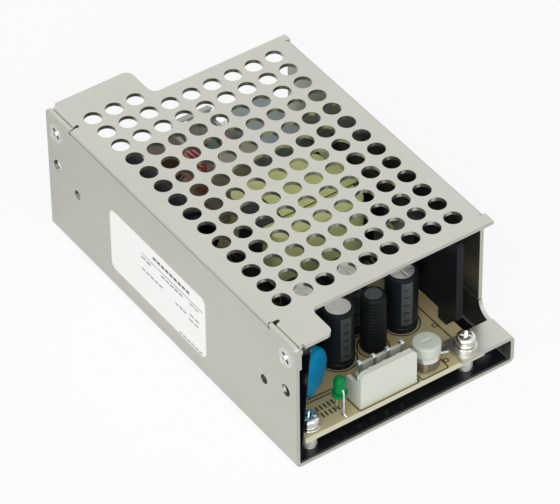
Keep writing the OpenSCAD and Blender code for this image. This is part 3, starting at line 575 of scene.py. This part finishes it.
def make_piece(name, shape, finish_name, body=BODY, bevel=0.0):
    """A mesh object from a shape in millimetres, with its finish, riding on a body."""
    points, faces = shape
    mesh = bpy.data.meshes.new(name)
    mesh.from_pydata((np.asarray(points) * MM).tolist(), [], faces)
    mesh.validate()
    mesh.materials.append(finish(finish_name))
    made = place_object(name, mesh)
    mesh.shade_smooth()
    mesh.set_sharp_from_angle(angle=math.radians(SHARP_ANGLE))
    if bevel:
        rounding = made.modifiers.new("rounding", "BEVEL")
        rounding.width = bevel * MM
        rounding.segments = 2
        rounding.limit_method = "ANGLE"
    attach(made, body)
    return made


# ---------------------------- pieces


def upright_cans():
    """Centre x, centre y, radius, foot and top of the four upright capacitors."""
    cans = []
    for node, size, order in (
        ("front_capacitors", settings().front_can, 1),
        ("rear_capacitors", settings().rear_can, -1),
    ):
        low, high = span(node)
        r = size / MM / 2
        left_y, right_y = (low[1] + r, high[1] - r)[::order]
        cans.append((low[0] + r, left_y, r, low[2], high[2]))
        cans.append((high[0] - r, right_y, r, low[2], high[2]))
    return cans


# share of the can's radius, depth below its top, thickness and depth of the scores
LID_SHARE = 0.80
LID_DEPTH = 0.14
LID_THICKNESS = 0.25
SCORE_DEPTH = 0.10


def make_can_lids():
    """Bare metal lids with a pressed cross, set in the rolled rim of each can."""
    width = settings().score / MM
    shapes = [
        scored_lid((x, y, top - LID_DEPTH), r * LID_SHARE, LID_THICKNESS, SCORE_DEPTH, width)
        for x, y, r, _, top in upright_cans()
    ]
    make_piece("can_lids", joined(shapes), "can_metal")


# degrees from +X for each can, then the bare sleeve below and above a stripe
STRIPE_ANGLES = (-96, -106, -70, -100)
STRIPE_ENDS = (2.6, 0.9)
DASH_PITCH = 2.4
DASH_HEIGHT = 0.5


def make_can_stripes():
    """The pale stripe down each sleeve, with its column of dashes."""
    stripes, dashes = [], []
    for (x, y, r, foot, top), angle in zip(upright_cans(), STRIPE_ANGLES):
        a = math.radians(angle)
        low, high = foot + STRIPE_ENDS[0], top - STRIPE_ENDS[1]
        stripes.append(wrapped_patch((x, y), r - 0.01, 0.03, a, r * 0.7, low, high))
        for z in np.arange(low + 1.2, high - 1.0, DASH_PITCH):
            dashes.append(wrapped_patch((x, y), r, 0.035, a, r * 0.36, z, z + DASH_HEIGHT, 4))
    make_piece("can_stripes", joined(stripes), "stripe_ink")
    make_piece("can_dashes", joined(dashes), "dash_ink")


RIB_DEPTH = 0.16


def make_rod_sleeve():
    """Shrunk sleeve over the turns of the rod choke: r = R - a (1 - cos(2 pi z / rib)) / 2,
    with a round shoulder, open at the top over the rod's flat end."""
    low, high = span("rod_choke")
    x, y, _ = middle("rod_choke")
    r = (high[0] - low[0]) / 2
    z0, z1 = low[2], high[2]
    rib = settings().rib / MM
    mouth, shoulder = 2.25, 1.2
    z = np.linspace(z0 + 0.6, z1 - shoulder, 160)
    ribs = r - RIB_DEPTH * (1 - np.cos(2 * np.pi * (z - z0) / rib)) / 2
    t = np.linspace(0, np.pi / 2, 10)[1:]
    bend = [mouth + (r - mouth - RIB_DEPTH / 2) * np.cos(t), z1 - shoulder * (1 - np.sin(t))]
    foot = [[0, z0], [r - 0.7, z0], [r - 0.35, z0 + 0.1]]
    lip = [[2.12, z1 - 0.03], [2.08, z1 - 0.12], [0, z1 - 0.12]]
    profile = np.vstack([foot, np.column_stack([ribs, z]), np.column_stack(bend), lip])
    made = make_piece("rod_sleeve", lathe(profile, (x, y, 0), 56), "black_sleeve")
    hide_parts("rod_choke")
    # the rod's bare flat end, whose lighter grey is a painted highlight on its top
    tip = lathe([[0, z1 - 0.2], [2.04, z1 - 0.2], [2.04, z1 - 0.06], [0, z1 - 0.04]], (x, y, 0), 40)
    make_piece("rod_end", tip, "rod_end_and_highlight")


# bore as a share of the ring, where the two windings start and how far they run, in degrees
CHOKE_BORE = 0.49
WINDING_STARTS = (-76, 104)
WINDING_ARC = 152
STEPS_PER_TURN = 28


def choke_layer(centre, r_out, r_in, half, turns, wire_d, start, end, layer):
    """One layer of a toroidal winding about Y: the ring angle runs from start to end while the
    wire goes round a rounded section, u = +-|cos p|^(1/2), v = +-|sin p|^(1/2); the second
    layer lies half a pitch on and further in where the bore leaves no room."""
    p = np.linspace(0, 2 * np.pi * turns, turns * STEPS_PER_TURN)
    ring = start + (end - start) * (p / p[-1] * (turns - 0.5) + 0.5 * layer) / turns
    cos_p, sin_p = np.cos(p), np.sin(p)
    u = np.sign(cos_p) * np.abs(cos_p) ** 0.5
    v = np.sign(sin_p) * np.abs(sin_p) ** 0.5
    reach = (r_out - r_in) / 2 + wire_d / 2
    inward = np.where(u < 0, 1 + layer * 0.8 * wire_d / reach, 1.0)
    radius = (r_out + r_in) / 2 + reach * u * inward
    rise = (half + wire_d / 2) * v
    out = np.stack([np.cos(ring), 0 * ring, np.sin(ring)], -1)
    path = np.asarray(centre) + out * radius[:, None] + ALONG * rise[:, None]
    normal = out * (u**3 / reach)[:, None] + ALONG * (v**3 / half)[:, None]
    return wire(path, wire_d / 2, normal, 8)


def make_choke_windings():
    """Two windings of lacquered wire, two layers each, round the line choke's ring."""
    low, high = span("line_choke_core")
    centre = (low + high) / 2
    r_out, half = (high[2] - low[2]) / 2, (high[1] - low[1]) / 2
    r_in = r_out * CHOKE_BORE
    turns, wire_d = settings().turns, settings().wire / MM
    shapes = []
    for first in WINDING_STARTS:
        ends = math.radians(first), math.radians(first + WINDING_ARC)
        for layer in (0, 1):
            shapes.append(choke_layer(centre, r_out, r_in, half, turns, wire_d, *ends, layer))
    for x in (-2.4, 2.4):
        for y in (-half - wire_d / 2, half + wire_d / 2):
            foot = np.array([centre[0] + x, centre[1] + y, board_top()])
            bend = smooth_path([foot, foot + [0, 0, 1.4], foot + [0.5 * x, 0, 2.6]], 0.6)
            shapes.append(wire(bend, wire_d / 2, ALONG, 8))
    made = make_piece("choke_windings", joined(shapes), "red_wire")
    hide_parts("line_choke_winding")


# how far inside the winding's box, and short of its foot and its head
TAPE_WRAPS = ((0.02, 0.6, 1.0), (-0.04, 1.8, 2.6))
TAPE = 0.07


def make_tape_wraps():
    """Edges of the tape round the transformer's winding: two wraps, the outer one narrower."""
    low, high = span("transformer_winding")
    shapes = []
    for inset, foot, head in TAPE_WRAPS:
        flat = rounded_rectangle(low + inset, high - inset, 3.0, 10)
        path = np.column_stack([flat, np.zeros(len(flat))])
        along = unit(np.roll(path, -1, 0) - np.roll(path, 1, 0))
        section = strip(low[2] + foot, high[2] - head, TAPE)
        shapes.append(sweep(path, UP, np.cross(along, UP), section, True))
    make_piece("tape_wraps", joined(shapes), "yellow_tape")


# node, way its leads stand in a row (0 across the case, 1 along it), pitch, steps from the
# middle, radius of the solder
LEAD_ROWS = (
    ("output_pins", 0, 3.96, (-1.5, -0.5, 0.5, 1.5), 1.3),
    ("input_pins", 0, 7.92, (-0.5, 0.5), 1.3),
    ("led_leads", 0, 1.27, (-1, 1), 0.9),
    ("rod_choke", 1, 1.6, (-1, 1), 1.0),
    ("mains_capacitor", 1, 7.5, (-1, 1), 1.1),
    ("bulk_capacitor", 1, 11.0, (-1, 1), 1.1),
    ("film_capacitor", 0, 5.0, (-1, 1), 1.0),
)


def make_solder():
    """Solder cones under the board, one round each lead."""
    spots = []
    for node, way, pitch, steps, r in LEAD_ROWS:
        for step in steps:
            spot = middle(node)
            spot[way] += step * pitch
            spots.append((spot[0], spot[1], r))
    for x, y, r, _, _ in upright_cans():
        spots += [(x + k * r * 0.6, y, 1.1) for k in (-1, 1)]
    low, high = span("transformer_bobbin")
    for y in (low[1] + 1.5, high[1] - 1.5):
        spots += [(x, y, 1.0) for x in np.linspace(low[0] + 2.5, high[0] - 2.5, 5)]
    under = span("circuit_board")[0][2]
    shapes = []
    for x, y, r in spots:
        drop = [[0, -1.3], [0.22, -1.25], [0.34, -0.9], [0.48 * r, -0.45], [r, -0.03], [r, 0.03]]
        shapes.append(lathe([*drop, [0, 0.03]], (x, y, under), 14))
    make_piece("solder_joints", joined(shapes), "solder")


# node and the room between it and the outline printed round it
OUTLINED_BOXES = (
    ("output_header", 0.55),
    ("input_header", 0.55),
    ("trimmer_base", 0.7),
    ("film_capacitor", 0.6),
    ("mains_capacitor", 0.6),
    ("bulk_capacitor", 0.5),
    ("transformer_bobbin", 0.7),
    ("bridge_rectifier", 0.6),
    ("optocoupler", 0.6),
)
# node and the radius of the circle printed round it
OUTLINED_ROUNDS = (("rod_choke", 3.8), ("line_fuse", 4.9))


def make_board_print():
    """Footprint outlines and plain marks printed on the board."""
    z = board_top() - 0.005
    outlines = []
    for node, gap in OUTLINED_BOXES:
        low, high = span(node)
        outlines.append(rounded_rectangle(low - gap, high + gap, 0.6, 4))
    outlines += [circle(r + 0.55, 40) + [x, y] for x, y, r, _, _ in upright_cans()]
    outlines += [circle(r, 40) + middle(node)[:2] for node, r in OUTLINED_ROUNDS]
    width = settings().line / MM
    shapes = [printed_line(flat, width, z) for flat in outlines]
    for node, side in (("output_heatsink", -1), ("input_heatsink", 1)):
        low, high = span(node)
        x = (low if side < 0 else high)[0] + side * 1.6
        line = [[x, low[1] - 1.5], [x, high[1] + 1.5]]
        shapes.append(printed_line(line, width, z, closed=False))
    make_piece("board_print", joined(shapes + mark_block(z)), "board_ink")


def mark_block(z):
    """Plain strokes and two rules beside the indicator, and two test squares by the trimmer."""
    led = middle("indicator_led")[:2]
    shapes = []
    for column, row in np.ndindex(5, 2):
        x, y = led + [-4.0, 1.1] + [column * 1.1, row * 2.3]
        shapes.append(printed_line([[x, y - 0.8], [x, y + 0.8]], 0.5, z, closed=False))
    for y in (6.3, 7.3):
        rule = [led + [-5.2, y], led + [2.8, y - 0.3]]
        shapes.append(printed_line(rule, 0.36, z, closed=False))
    for shift in ([4.6, -1.5], [9.6, 9.6]):
        spot = middle("trimmer_base")[:2] + shift
        shapes.append(printed_line(rounded_rectangle(spot - 0.55, spot + 0.55, 0.2, 3), 0.3, z))
    return shapes


# along the case from the label's rear end, height up the label, length, thickness; shares of it
LABEL_RULES = (
    (0.335, 0.760, 0.640, 0.010),
    (0.460, 0.870, 0.390, 0.040),
    (0.335, 0.700, 0.110, 0.022),
    (0.545, 0.700, 0.230, 0.022),
    (0.840, 0.705, 0.100, 0.018),
    (0.335, 0.505, 0.230, 0.020),
    (0.690, 0.470, 0.120, 0.020),
    (0.840, 0.520, 0.105, 0.018),
    (0.830, 0.430, 0.110, 0.018),
    (0.720, 0.035, 0.250, 0.016),
)
FINE_RULE = 0.012
# bars in a row as long as the label, share of a step that a bar fills, and how far the ink
# stands out of the label, in millimetres
BARS_PER_LABEL = 22
BAR_SHARE = 0.78
LABEL_PROUD = 0.012


def make_label_print():
    """Plain rules and bars on the rating label, with no words; all but the finest are broken."""
    low, high = span("rating_label")
    wide, tall = high[1] - low[1], high[2] - low[2]
    lows, highs = [], []
    for along, up, run, thick in LABEL_RULES:
        whole = thick < FINE_RULE
        pieces = 1 if whole else max(2, round(run * BARS_PER_LABEL))
        step = run * wide / pieces
        bar = step if whole else step * BAR_SHARE
        far = high[1] - along * wide
        z = low[2] + up * tall
        for start in far - np.arange(pieces) * step:
            lows.append([low[0] - LABEL_PROUD, start - bar, z - thick * tall / 2])
            highs.append([low[0] + 0.01, start, z + thick * tall / 2])
    make_piece("label_print", blocks(lows, highs), "label_ink")


def make_trimmer_clips():
    """Bent end clips of the trimmer's track, on the front of its base."""
    low, high = span("trimmer_base")
    centre = middle("trimmer_base")
    r = (high[1] - low[1]) / 2 * 0.97
    shapes = [
        wrapped_patch(centre, r, 0.22, math.radians(angle), 0.9, low[2] + 0.2, high[2] - 0.1)
        for angle in (-128, -22)
    ]
    make_piece("trimmer_clips", joined(shapes), "tan_clip")


# diameter and thickness
FLAT_WASHER = (5.6, 0.5)
SPRING_WASHER = (4.9, 0.7)
WASHER_BORE = 2.8


def screw_seats():
    """Where the lowest washer of each board screw sits: the board left, the tabs right."""
    low, high = span("flat_washers")
    r = FLAT_WASHER[0] / 2
    left, right = (low[0] + r, low[2]), (high[0] - r, high[2] - FLAT_WASHER[1])
    return [(x, y, z) for x, z in (left, right) for y in (low[1] + r, high[1] - r)]


def washer(centre, size, slack, corner, gap=0.0, rise=0.0):
    """A rounded section carried round a screw: a whole ring, or one that is open by twice the
    gap, in radians, and rises along the way."""
    width, thick = size
    steps = 72
    out = headings(np.linspace(gap, 2 * np.pi - gap, steps, endpoint=gap > 0) - 0.6)
    path = np.array(centre) + np.outer(np.linspace(0, rise, steps), UP)
    section = rounded_rectangle((0, WASHER_BORE / 2), (thick - slack, width / 2), corner, 6)
    return sweep(path, UP, out, section, closed=gap == 0)


def make_washers():
    """A flat washer and a split spring washer under the head of each board screw."""
    flats, springs = [], []
    for x, y, z in screw_seats():
        flats.append(washer([x, y, z], FLAT_WASHER, 0.02, 0.14))
        z += FLAT_WASHER[1] + 0.01
        springs.append(washer([x, y, z], SPRING_WASHER, 0.12, 0.27, gap=0.25, rise=0.10))
    made = make_piece("flat_washer_rings", joined(flats), "bright_screw")
    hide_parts("flat_washers")
    made = make_piece("spring_washer_rings", joined(springs), "bright_screw")
    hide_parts("spring_washers")


# from the board's edge at the labelled wall, above the film's underside
FILM_PROFILE = ((-0.2, 0.1), (-0.9, 0.35), (-1.1, 1.2), (-0.3, 10.0), (0.4, 18.5), (1.7, 33.4))
FILM_THICKNESS = 0.18


def make_film_fold():
    """The insulating film's upright fold along the labelled wall."""
    corner = span("circuit_board")[0]
    start = [corner[0], corner[1] + 0.2, span("floor_film")[0][2]]
    path = start + np.insert(FILM_PROFILE, 1, 0.0, axis=1)
    run = span("input_heatsink")[0][1] - corner[1] - 0.8
    across = np.cross(ALONG, unit(np.gradient(path, axis=0)))
    half = FILM_THICKNESS / 2
    shape = sweep(path, across, ALONG, strip(-half, half, run))
    make_piece("film_fold", shape, "film_fold")


def make_header_back():
    """Rear wall of the output header, between its pins and the parts behind."""
    low, high = span("output_header")
    near = [low[0] + 3.2, high[1] - 0.8, low[2] + 1.0]
    far = [high[0] - 1.3, high[1] - 0.02, high[2] - 1.7]
    make_piece("header_back", blocks(near, far), "white_nylon", bevel=0.12)


# from the solid's place; width, thickness and height above the board; between the leads; and
# degrees that the disc's axis is turned from +X towards the front
DISC_SHIFT = np.array([-0.9, 1.2])
DISC_SIZE = (11.6, 4.2, 2.2)
DISC_PITCH = 5.0
DISC_TURN = 62


def make_disc():
    """The dipped disc by the labelled wall. Rounds from face to face: across = -t/2 cos p and
    rim = r sin p, both to a power below one; two necks of coating run down to the leads."""
    wide, thick, lift = DISC_SIZE
    r = wide / 2
    foot = board_top()
    centre = np.append(middle("disc_capacitor")[:2] + DISC_SHIFT, foot + lift + r)
    lead_places = (-DISC_PITCH / 2, DISC_PITCH / 2)
    p = np.linspace(0, np.pi, 26)[1:-1, None]
    t = np.linspace(0, 2 * np.pi, 96, endpoint=False)[None]
    low_half = np.clip(-np.sin(t), 0, 1)
    neck = sum(np.exp(-(((r * np.cos(t) - y) / 0.75) ** 2)) for y in lead_places)
    rim = (r + 1.1 * neck * low_half**2) * np.sin(p) ** 0.45
    across = -thick / 2 * np.sign(np.cos(p)) * np.abs(np.cos(p)) ** 0.75 + 0 * t
    turn = math.radians(-DISC_TURN)
    axis = np.array([math.cos(turn), math.sin(turn), 0.0])
    level = np.array([-axis[1], axis[0], 0.0])
    wide_way = (rim * np.cos(t))[..., None] * level + (rim * np.sin(t))[..., None] * UP
    rings = across[..., None] * axis + wide_way + centre
    poles = [centre + side * thick / 2 * axis for side in (-1, 1)]
    made = make_piece("disc_body", closed_rings(rings, *poles), "blue_ceramic")
    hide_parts("disc_capacitor")
    leads = []
    for y in lead_places:
        end = np.append((centre + level * y)[:2], foot - 0.3)
        leads.append(wire([end, end + UP * (lift + 1.3)], 0.3, axis))
    make_piece("disc_leads", joined(leads), "tinned_metal")


def make_led_lead():
    """Bright lead bent down from the indicator's front to a foot on the board."""
    low = span("indicator_led")[0]
    top = board_top()
    x, y = middle("indicator_led")[0] - 0.25, low[1] - 0.05
    corners = [
        [x, y + 0.5, low[2] + 2.6],
        [x, y, low[2] + 1.8],
        [x, y, top + 0.8],
        [x + 0.25, y - 0.65, top + 0.05],
    ]
    shape = wire(smooth_path(corners, 0.35), 0.24, (1, 0, 0))
    make_piece("led_front_lead", shape, "tinned_metal")


# depth, half width, half length
KNOB_SLOT = (0.16, 0.34, 1.5)


def make_knob_cap():
    """Trimmer knob as one closed surface: a flat top rounded over its edge, with a shallow
    slot pressed in, z = -depth exp(-(y / half width)^4 - (x / half length)^8)."""
    low, high = span("trimmer_knob")
    top, r = high[2], (high[0] - low[0]) / 2
    centre = middle("trimmer_knob")
    under = span("trimmer_contact")[1][2] + 0.05
    depth, half_width, half_length = KNOB_SLOT
    t = np.linspace(0, np.pi / 2, 9)
    face = np.linspace(r - 0.8, 0.05, 30)
    shoulder = top - 0.7 + 0.65 * np.sin(t)
    crown = top - 0.05 * (face / r) ** 2
    radii = np.r_[0.8, 0.8, r - 0.3, r - 0.05, r - 0.7 + 0.7 * np.cos(t), face][:, None]
    levels = np.r_[low[2], under, under, under + 0.2, shoulder, crown][:, None]
    x, y = around(radii, 96)
    slot = depth * np.exp(-((y / half_width) ** 4) - (x / half_length) ** 8)
    z = levels - np.where(levels > top - 0.2, slot, 0.0)
    rings = np.stack([x + centre[0], y + centre[1], z], -1)
    poles = [[centre[0], centre[1], level] for level in (low[2], top - depth)]
    shape = closed_rings(rings, *poles)
    made = make_piece("knob_cap", shape, "knob_plastic", body="adjuster")
    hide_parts("trimmer_knob")


LINK_SPAN = 7.6


def make_link_wires():
    """Bare wire links standing just clear of the board between rows of parts."""
    top = board_top()
    start = middle("optocoupler")[0]
    row = span("rear_capacitors")[1][1]
    shapes = []
    for shift, y in ((5.0, row + 1.6), (16.0, row + 2.4)):
        x0, x1 = start + shift, start + shift + LINK_SPAN
        corners = [[x0, y, top], [x0, y, top + 0.7], [x1, y, top + 0.7], [x1, y, top]]
        shapes.append(wire(smooth_path(corners, 0.4), 0.3, ALONG, 8))
    make_piece("link_wires", joined(shapes), "tinned_metal")


# ---------------------------- stage

SURROUND_LIGHT = 0.48
PAPER_GLOW = 0.86
# tone of the paper, how far it reaches each way in metres, and millimetres below the case
PAPER = (0.86, 0.86, 0.86)
FLOOR_REACH = 3.0
FLOOR_GAP = 0.2
FLOOR_CORNERS = ((-1, -1), (1, -1), (1, 1), (-1, 1))
# name, place, size, power; metres and watts
LAMPS = (
    ("left_lamp", (-0.90, -0.45, 0.60), 1.2, 7.5),
    ("front_lamp", (0.10, -1.00, 0.60), 0.5, 1.5),
    ("high_lamp", (-0.45, -0.70, 0.95), 1.2, 3.6),
)
LAMP_AIM = (0.0, 0.0, 0.02)
# metres, radians, millimetres
CAMERA_PLACE = (-0.41684, -0.61184, 0.67612)
CAMERA_TURN = (0.839943, 0.010462, -0.607966)
CAMERA_LENS = 270.2
SENSOR_WIDTH = 36.0
CLIP_END = 20.0


def make_surround():
    """A surround that is white to the camera and to gloss, and dimmer as a light."""
    world = bpy.data.worlds.new("studio")
    bpy.context.scene.world = world
    world.use_nodes = True
    tree = world.node_tree
    surround = tree.nodes["Background"].inputs
    surround["Color"].default_value = (1.0, 1.0, 1.0, 1.0)
    ray = add(tree, "ShaderNodeLightPath").outputs
    seen = math_node(tree, "MAXIMUM", ray["Is Camera Ray"], ray["Is Glossy Ray"])
    seen = math_node(tree, "MAXIMUM", seen, ray["Is Transmission Ray"])
    rest = math_node(tree, "SUBTRACT", 1.0, seen)
    low = math_node(tree, "MULTIPLY", rest, SURROUND_LIGHT)
    tree.links.new(math_node(tree, "ADD", low, seen), surround["Strength"])


def make_floor():
    """A pale paper floor just under the case, near white to the camera, that keeps the shadow."""
    level = CAD_BOX[0][2] - FLOOR_GAP * MM
    corners = [(x * FLOOR_REACH, y * FLOOR_REACH, level) for x, y in FLOOR_CORNERS]
    mesh = bpy.data.meshes.new("studio_floor")
    mesh.from_pydata(corners, [], [(0, 1, 2, 3)])
    floor = place_object("studio_floor", mesh)
    paper = bpy.data.materials.new("floor_paper")
    paper.use_nodes = True
    tree = paper.node_tree
    shader = tree.nodes["Principled BSDF"]
    shader.inputs["Base Color"].default_value = (*PAPER, 1.0)
    shader.inputs["Roughness"].default_value = 0.9
    glow = add(tree, "ShaderNodeEmission", Color=(1.0, 1.0, 1.0), Strength=1.0)
    seen = add(tree, "ShaderNodeLightPath").outputs["Is Camera Ray"]
    mix = add(tree, "ShaderNodeMixShader", Fac=math_node(tree, "MULTIPLY", seen, PAPER_GLOW))
    tree.links.new(shader.outputs["BSDF"], mix.inputs[1])
    tree.links.new(glow.outputs["Emission"], mix.inputs[2])
    tree.links.new(mix.outputs["Shader"], tree.nodes["Material Output"].inputs["Surface"])
    mesh.materials.append(paper)


def make_lamps():
    """Soft square lamps aimed at the case."""
    for name, place, size, power in LAMPS:
        lamp = bpy.data.lights.new(name, "AREA")
        lamp.size = size
        lamp.energy = power
        made = place_object(name, lamp)
        made.location = place
        aim = Vector(LAMP_AIM) - Vector(place)
        made.rotation_euler = aim.to_track_quat("-Z", "Y").to_euler()


def make_camera():
    """A long lens from the front left, above the case."""
    lens = bpy.data.cameras.new("camera")
    lens.sensor_width = SENSOR_WIDTH
    lens.lens = CAMERA_LENS
    lens.clip_end = CLIP_END
    camera = place_object("camera", lens)
    camera.location = CAMERA_PLACE
    camera.rotation_euler = CAMERA_TURN
    bpy.context.scene.camera = camera


# ---------------------------- add-on


class SUPPLY_OT_stage(bpy.types.Operator):
    """Set up the camera, the lamps, the surround and the floor"""

    bl_idname = "supply.stage"
    bl_label = "Studio"

    def execute(self, context):
        context.scene.view_settings.view_transform = "Standard"
        make_surround()
        make_floor()
        make_lamps()
        make_camera()
        return {"FINISHED"}


class SUPPLY_OT_finishes(bpy.types.Operator):
    """Give every solid of the supply its finish"""

    bl_idname = "supply.finishes"
    bl_label = "Finishes"

    def execute(self, context):
        dress_nodes()
        return {"FINISHED"}


class SUPPLY_OT_cans(bpy.types.Operator):
    """Add the lids, stripes and dashes of the upright capacitors"""

    bl_idname = "supply.cans"
    bl_label = "Capacitor lids and sleeves"

    def execute(self, context):
        make_can_lids()
        make_can_stripes()
        return {"FINISHED"}


class SUPPLY_OT_rod_choke(bpy.types.Operator):
    """Add the ribbed sleeve of the rod choke"""

    bl_idname = "supply.rod_choke"
    bl_label = "Rod choke sleeve"

    def execute(self, context):
        make_rod_sleeve()
        return {"FINISHED"}


class SUPPLY_OT_line_choke(bpy.types.Operator):
    """Wind the line choke"""

    bl_idname = "supply.line_choke"
    bl_label = "Line choke windings"

    def execute(self, context):
        make_choke_windings()
        return {"FINISHED"}


class SUPPLY_OT_transformer(bpy.types.Operator):
    """Add the edges of the transformer's tape"""

    bl_idname = "supply.transformer"
    bl_label = "Transformer tape"

    def execute(self, context):
        make_tape_wraps()
        return {"FINISHED"}


class SUPPLY_OT_board(bpy.types.Operator):
    """Add the board's print, solder and wire links"""

    bl_idname = "supply.board"
    bl_label = "Board print and solder"

    def execute(self, context):
        make_board_print()
        make_solder()
        make_link_wires()
        return {"FINISHED"}


class SUPPLY_OT_trimmer(bpy.types.Operator):
    """Add the trimmer's knob and the clips of its base"""

    bl_idname = "supply.trimmer"
    bl_label = "Trimmer knob and clips"

    def execute(self, context):
        make_knob_cap()
        make_trimmer_clips()
        return {"FINISHED"}


class SUPPLY_OT_washers(bpy.types.Operator):
    """Put washers with rounded edges under the board's screws"""

    bl_idname = "supply.washers"
    bl_label = "Washers"

    def execute(self, context):
        make_washers()
        return {"FINISHED"}


class SUPPLY_OT_film_fold(bpy.types.Operator):
    """Fold the insulating film up the labelled wall"""

    bl_idname = "supply.film_fold"
    bl_label = "Film fold"

    def execute(self, context):
        make_film_fold()
        return {"FINISHED"}


class SUPPLY_OT_disc(bpy.types.Operator):
    """Add the disc capacitor's dipped body and leads"""

    bl_idname = "supply.disc"
    bl_label = "Disc capacitor"

    def execute(self, context):
        make_disc()
        return {"FINISHED"}


class SUPPLY_OT_output_row(bpy.types.Operator):
    """Add the header's rear wall and the indicator's front lead"""

    bl_idname = "supply.output_row"
    bl_label = "Header wall and indicator lead"

    def execute(self, context):
        make_header_back()
        make_led_lead()
        return {"FINISHED"}


class SUPPLY_OT_label(bpy.types.Operator):
    """Add the plain rules of the label"""

    bl_idname = "supply.label"
    bl_label = "Label rules"

    def execute(self, context):
        make_label_print()
        return {"FINISHED"}


OPERATORS = (
    SUPPLY_OT_stage,
    SUPPLY_OT_finishes,
    SUPPLY_OT_cans,
    SUPPLY_OT_rod_choke,
    SUPPLY_OT_line_choke,
    SUPPLY_OT_transformer,
    SUPPLY_OT_board,
    SUPPLY_OT_trimmer,
    SUPPLY_OT_washers,
    SUPPLY_OT_film_fold,
    SUPPLY_OT_disc,
    SUPPLY_OT_output_row,
    SUPPLY_OT_label,
)


class SUPPLY_PT_panel(bpy.types.Panel):
    """Settings and steps of the power supply"""

    bl_idname = "SUPPLY_PT_panel"
    bl_label = "Power supply"
    bl_space_type = "VIEW_3D"
    bl_region_type = "UI"
    bl_category = "Power supply"

    def draw(self, context):
        column = self.layout.column()
        for name in SupplySettings.__annotations__:
            column.prop(context.scene.power_supply, name)
        for operator in OPERATORS:
            column.operator(operator.bl_idname)


CLASSES = (SupplySettings, *OPERATORS, SUPPLY_PT_panel)


def register():
    for each in CLASSES:
        bpy.utils.register_class(each)
    bpy.types.Scene.power_supply = PointerProperty(type=SupplySettings)


def unregister():
    del bpy.types.Scene.power_supply
    for each in reversed(CLASSES):
        bpy.utils.unregister_class(each)


def main():
    """Run every step in order."""
    register()
    bpy.ops.supply.stage()
    bpy.ops.supply.finishes()
    bpy.ops.supply.cans()
    bpy.ops.supply.rod_choke()
    bpy.ops.supply.line_choke()
    bpy.ops.supply.transformer()
    bpy.ops.supply.board()
    bpy.ops.supply.trimmer()
    bpy.ops.supply.washers()
    bpy.ops.supply.film_fold()
    bpy.ops.supply.disc()
    bpy.ops.supply.output_row()
    bpy.ops.supply.label()


if __name__ == "__main__":
    main()
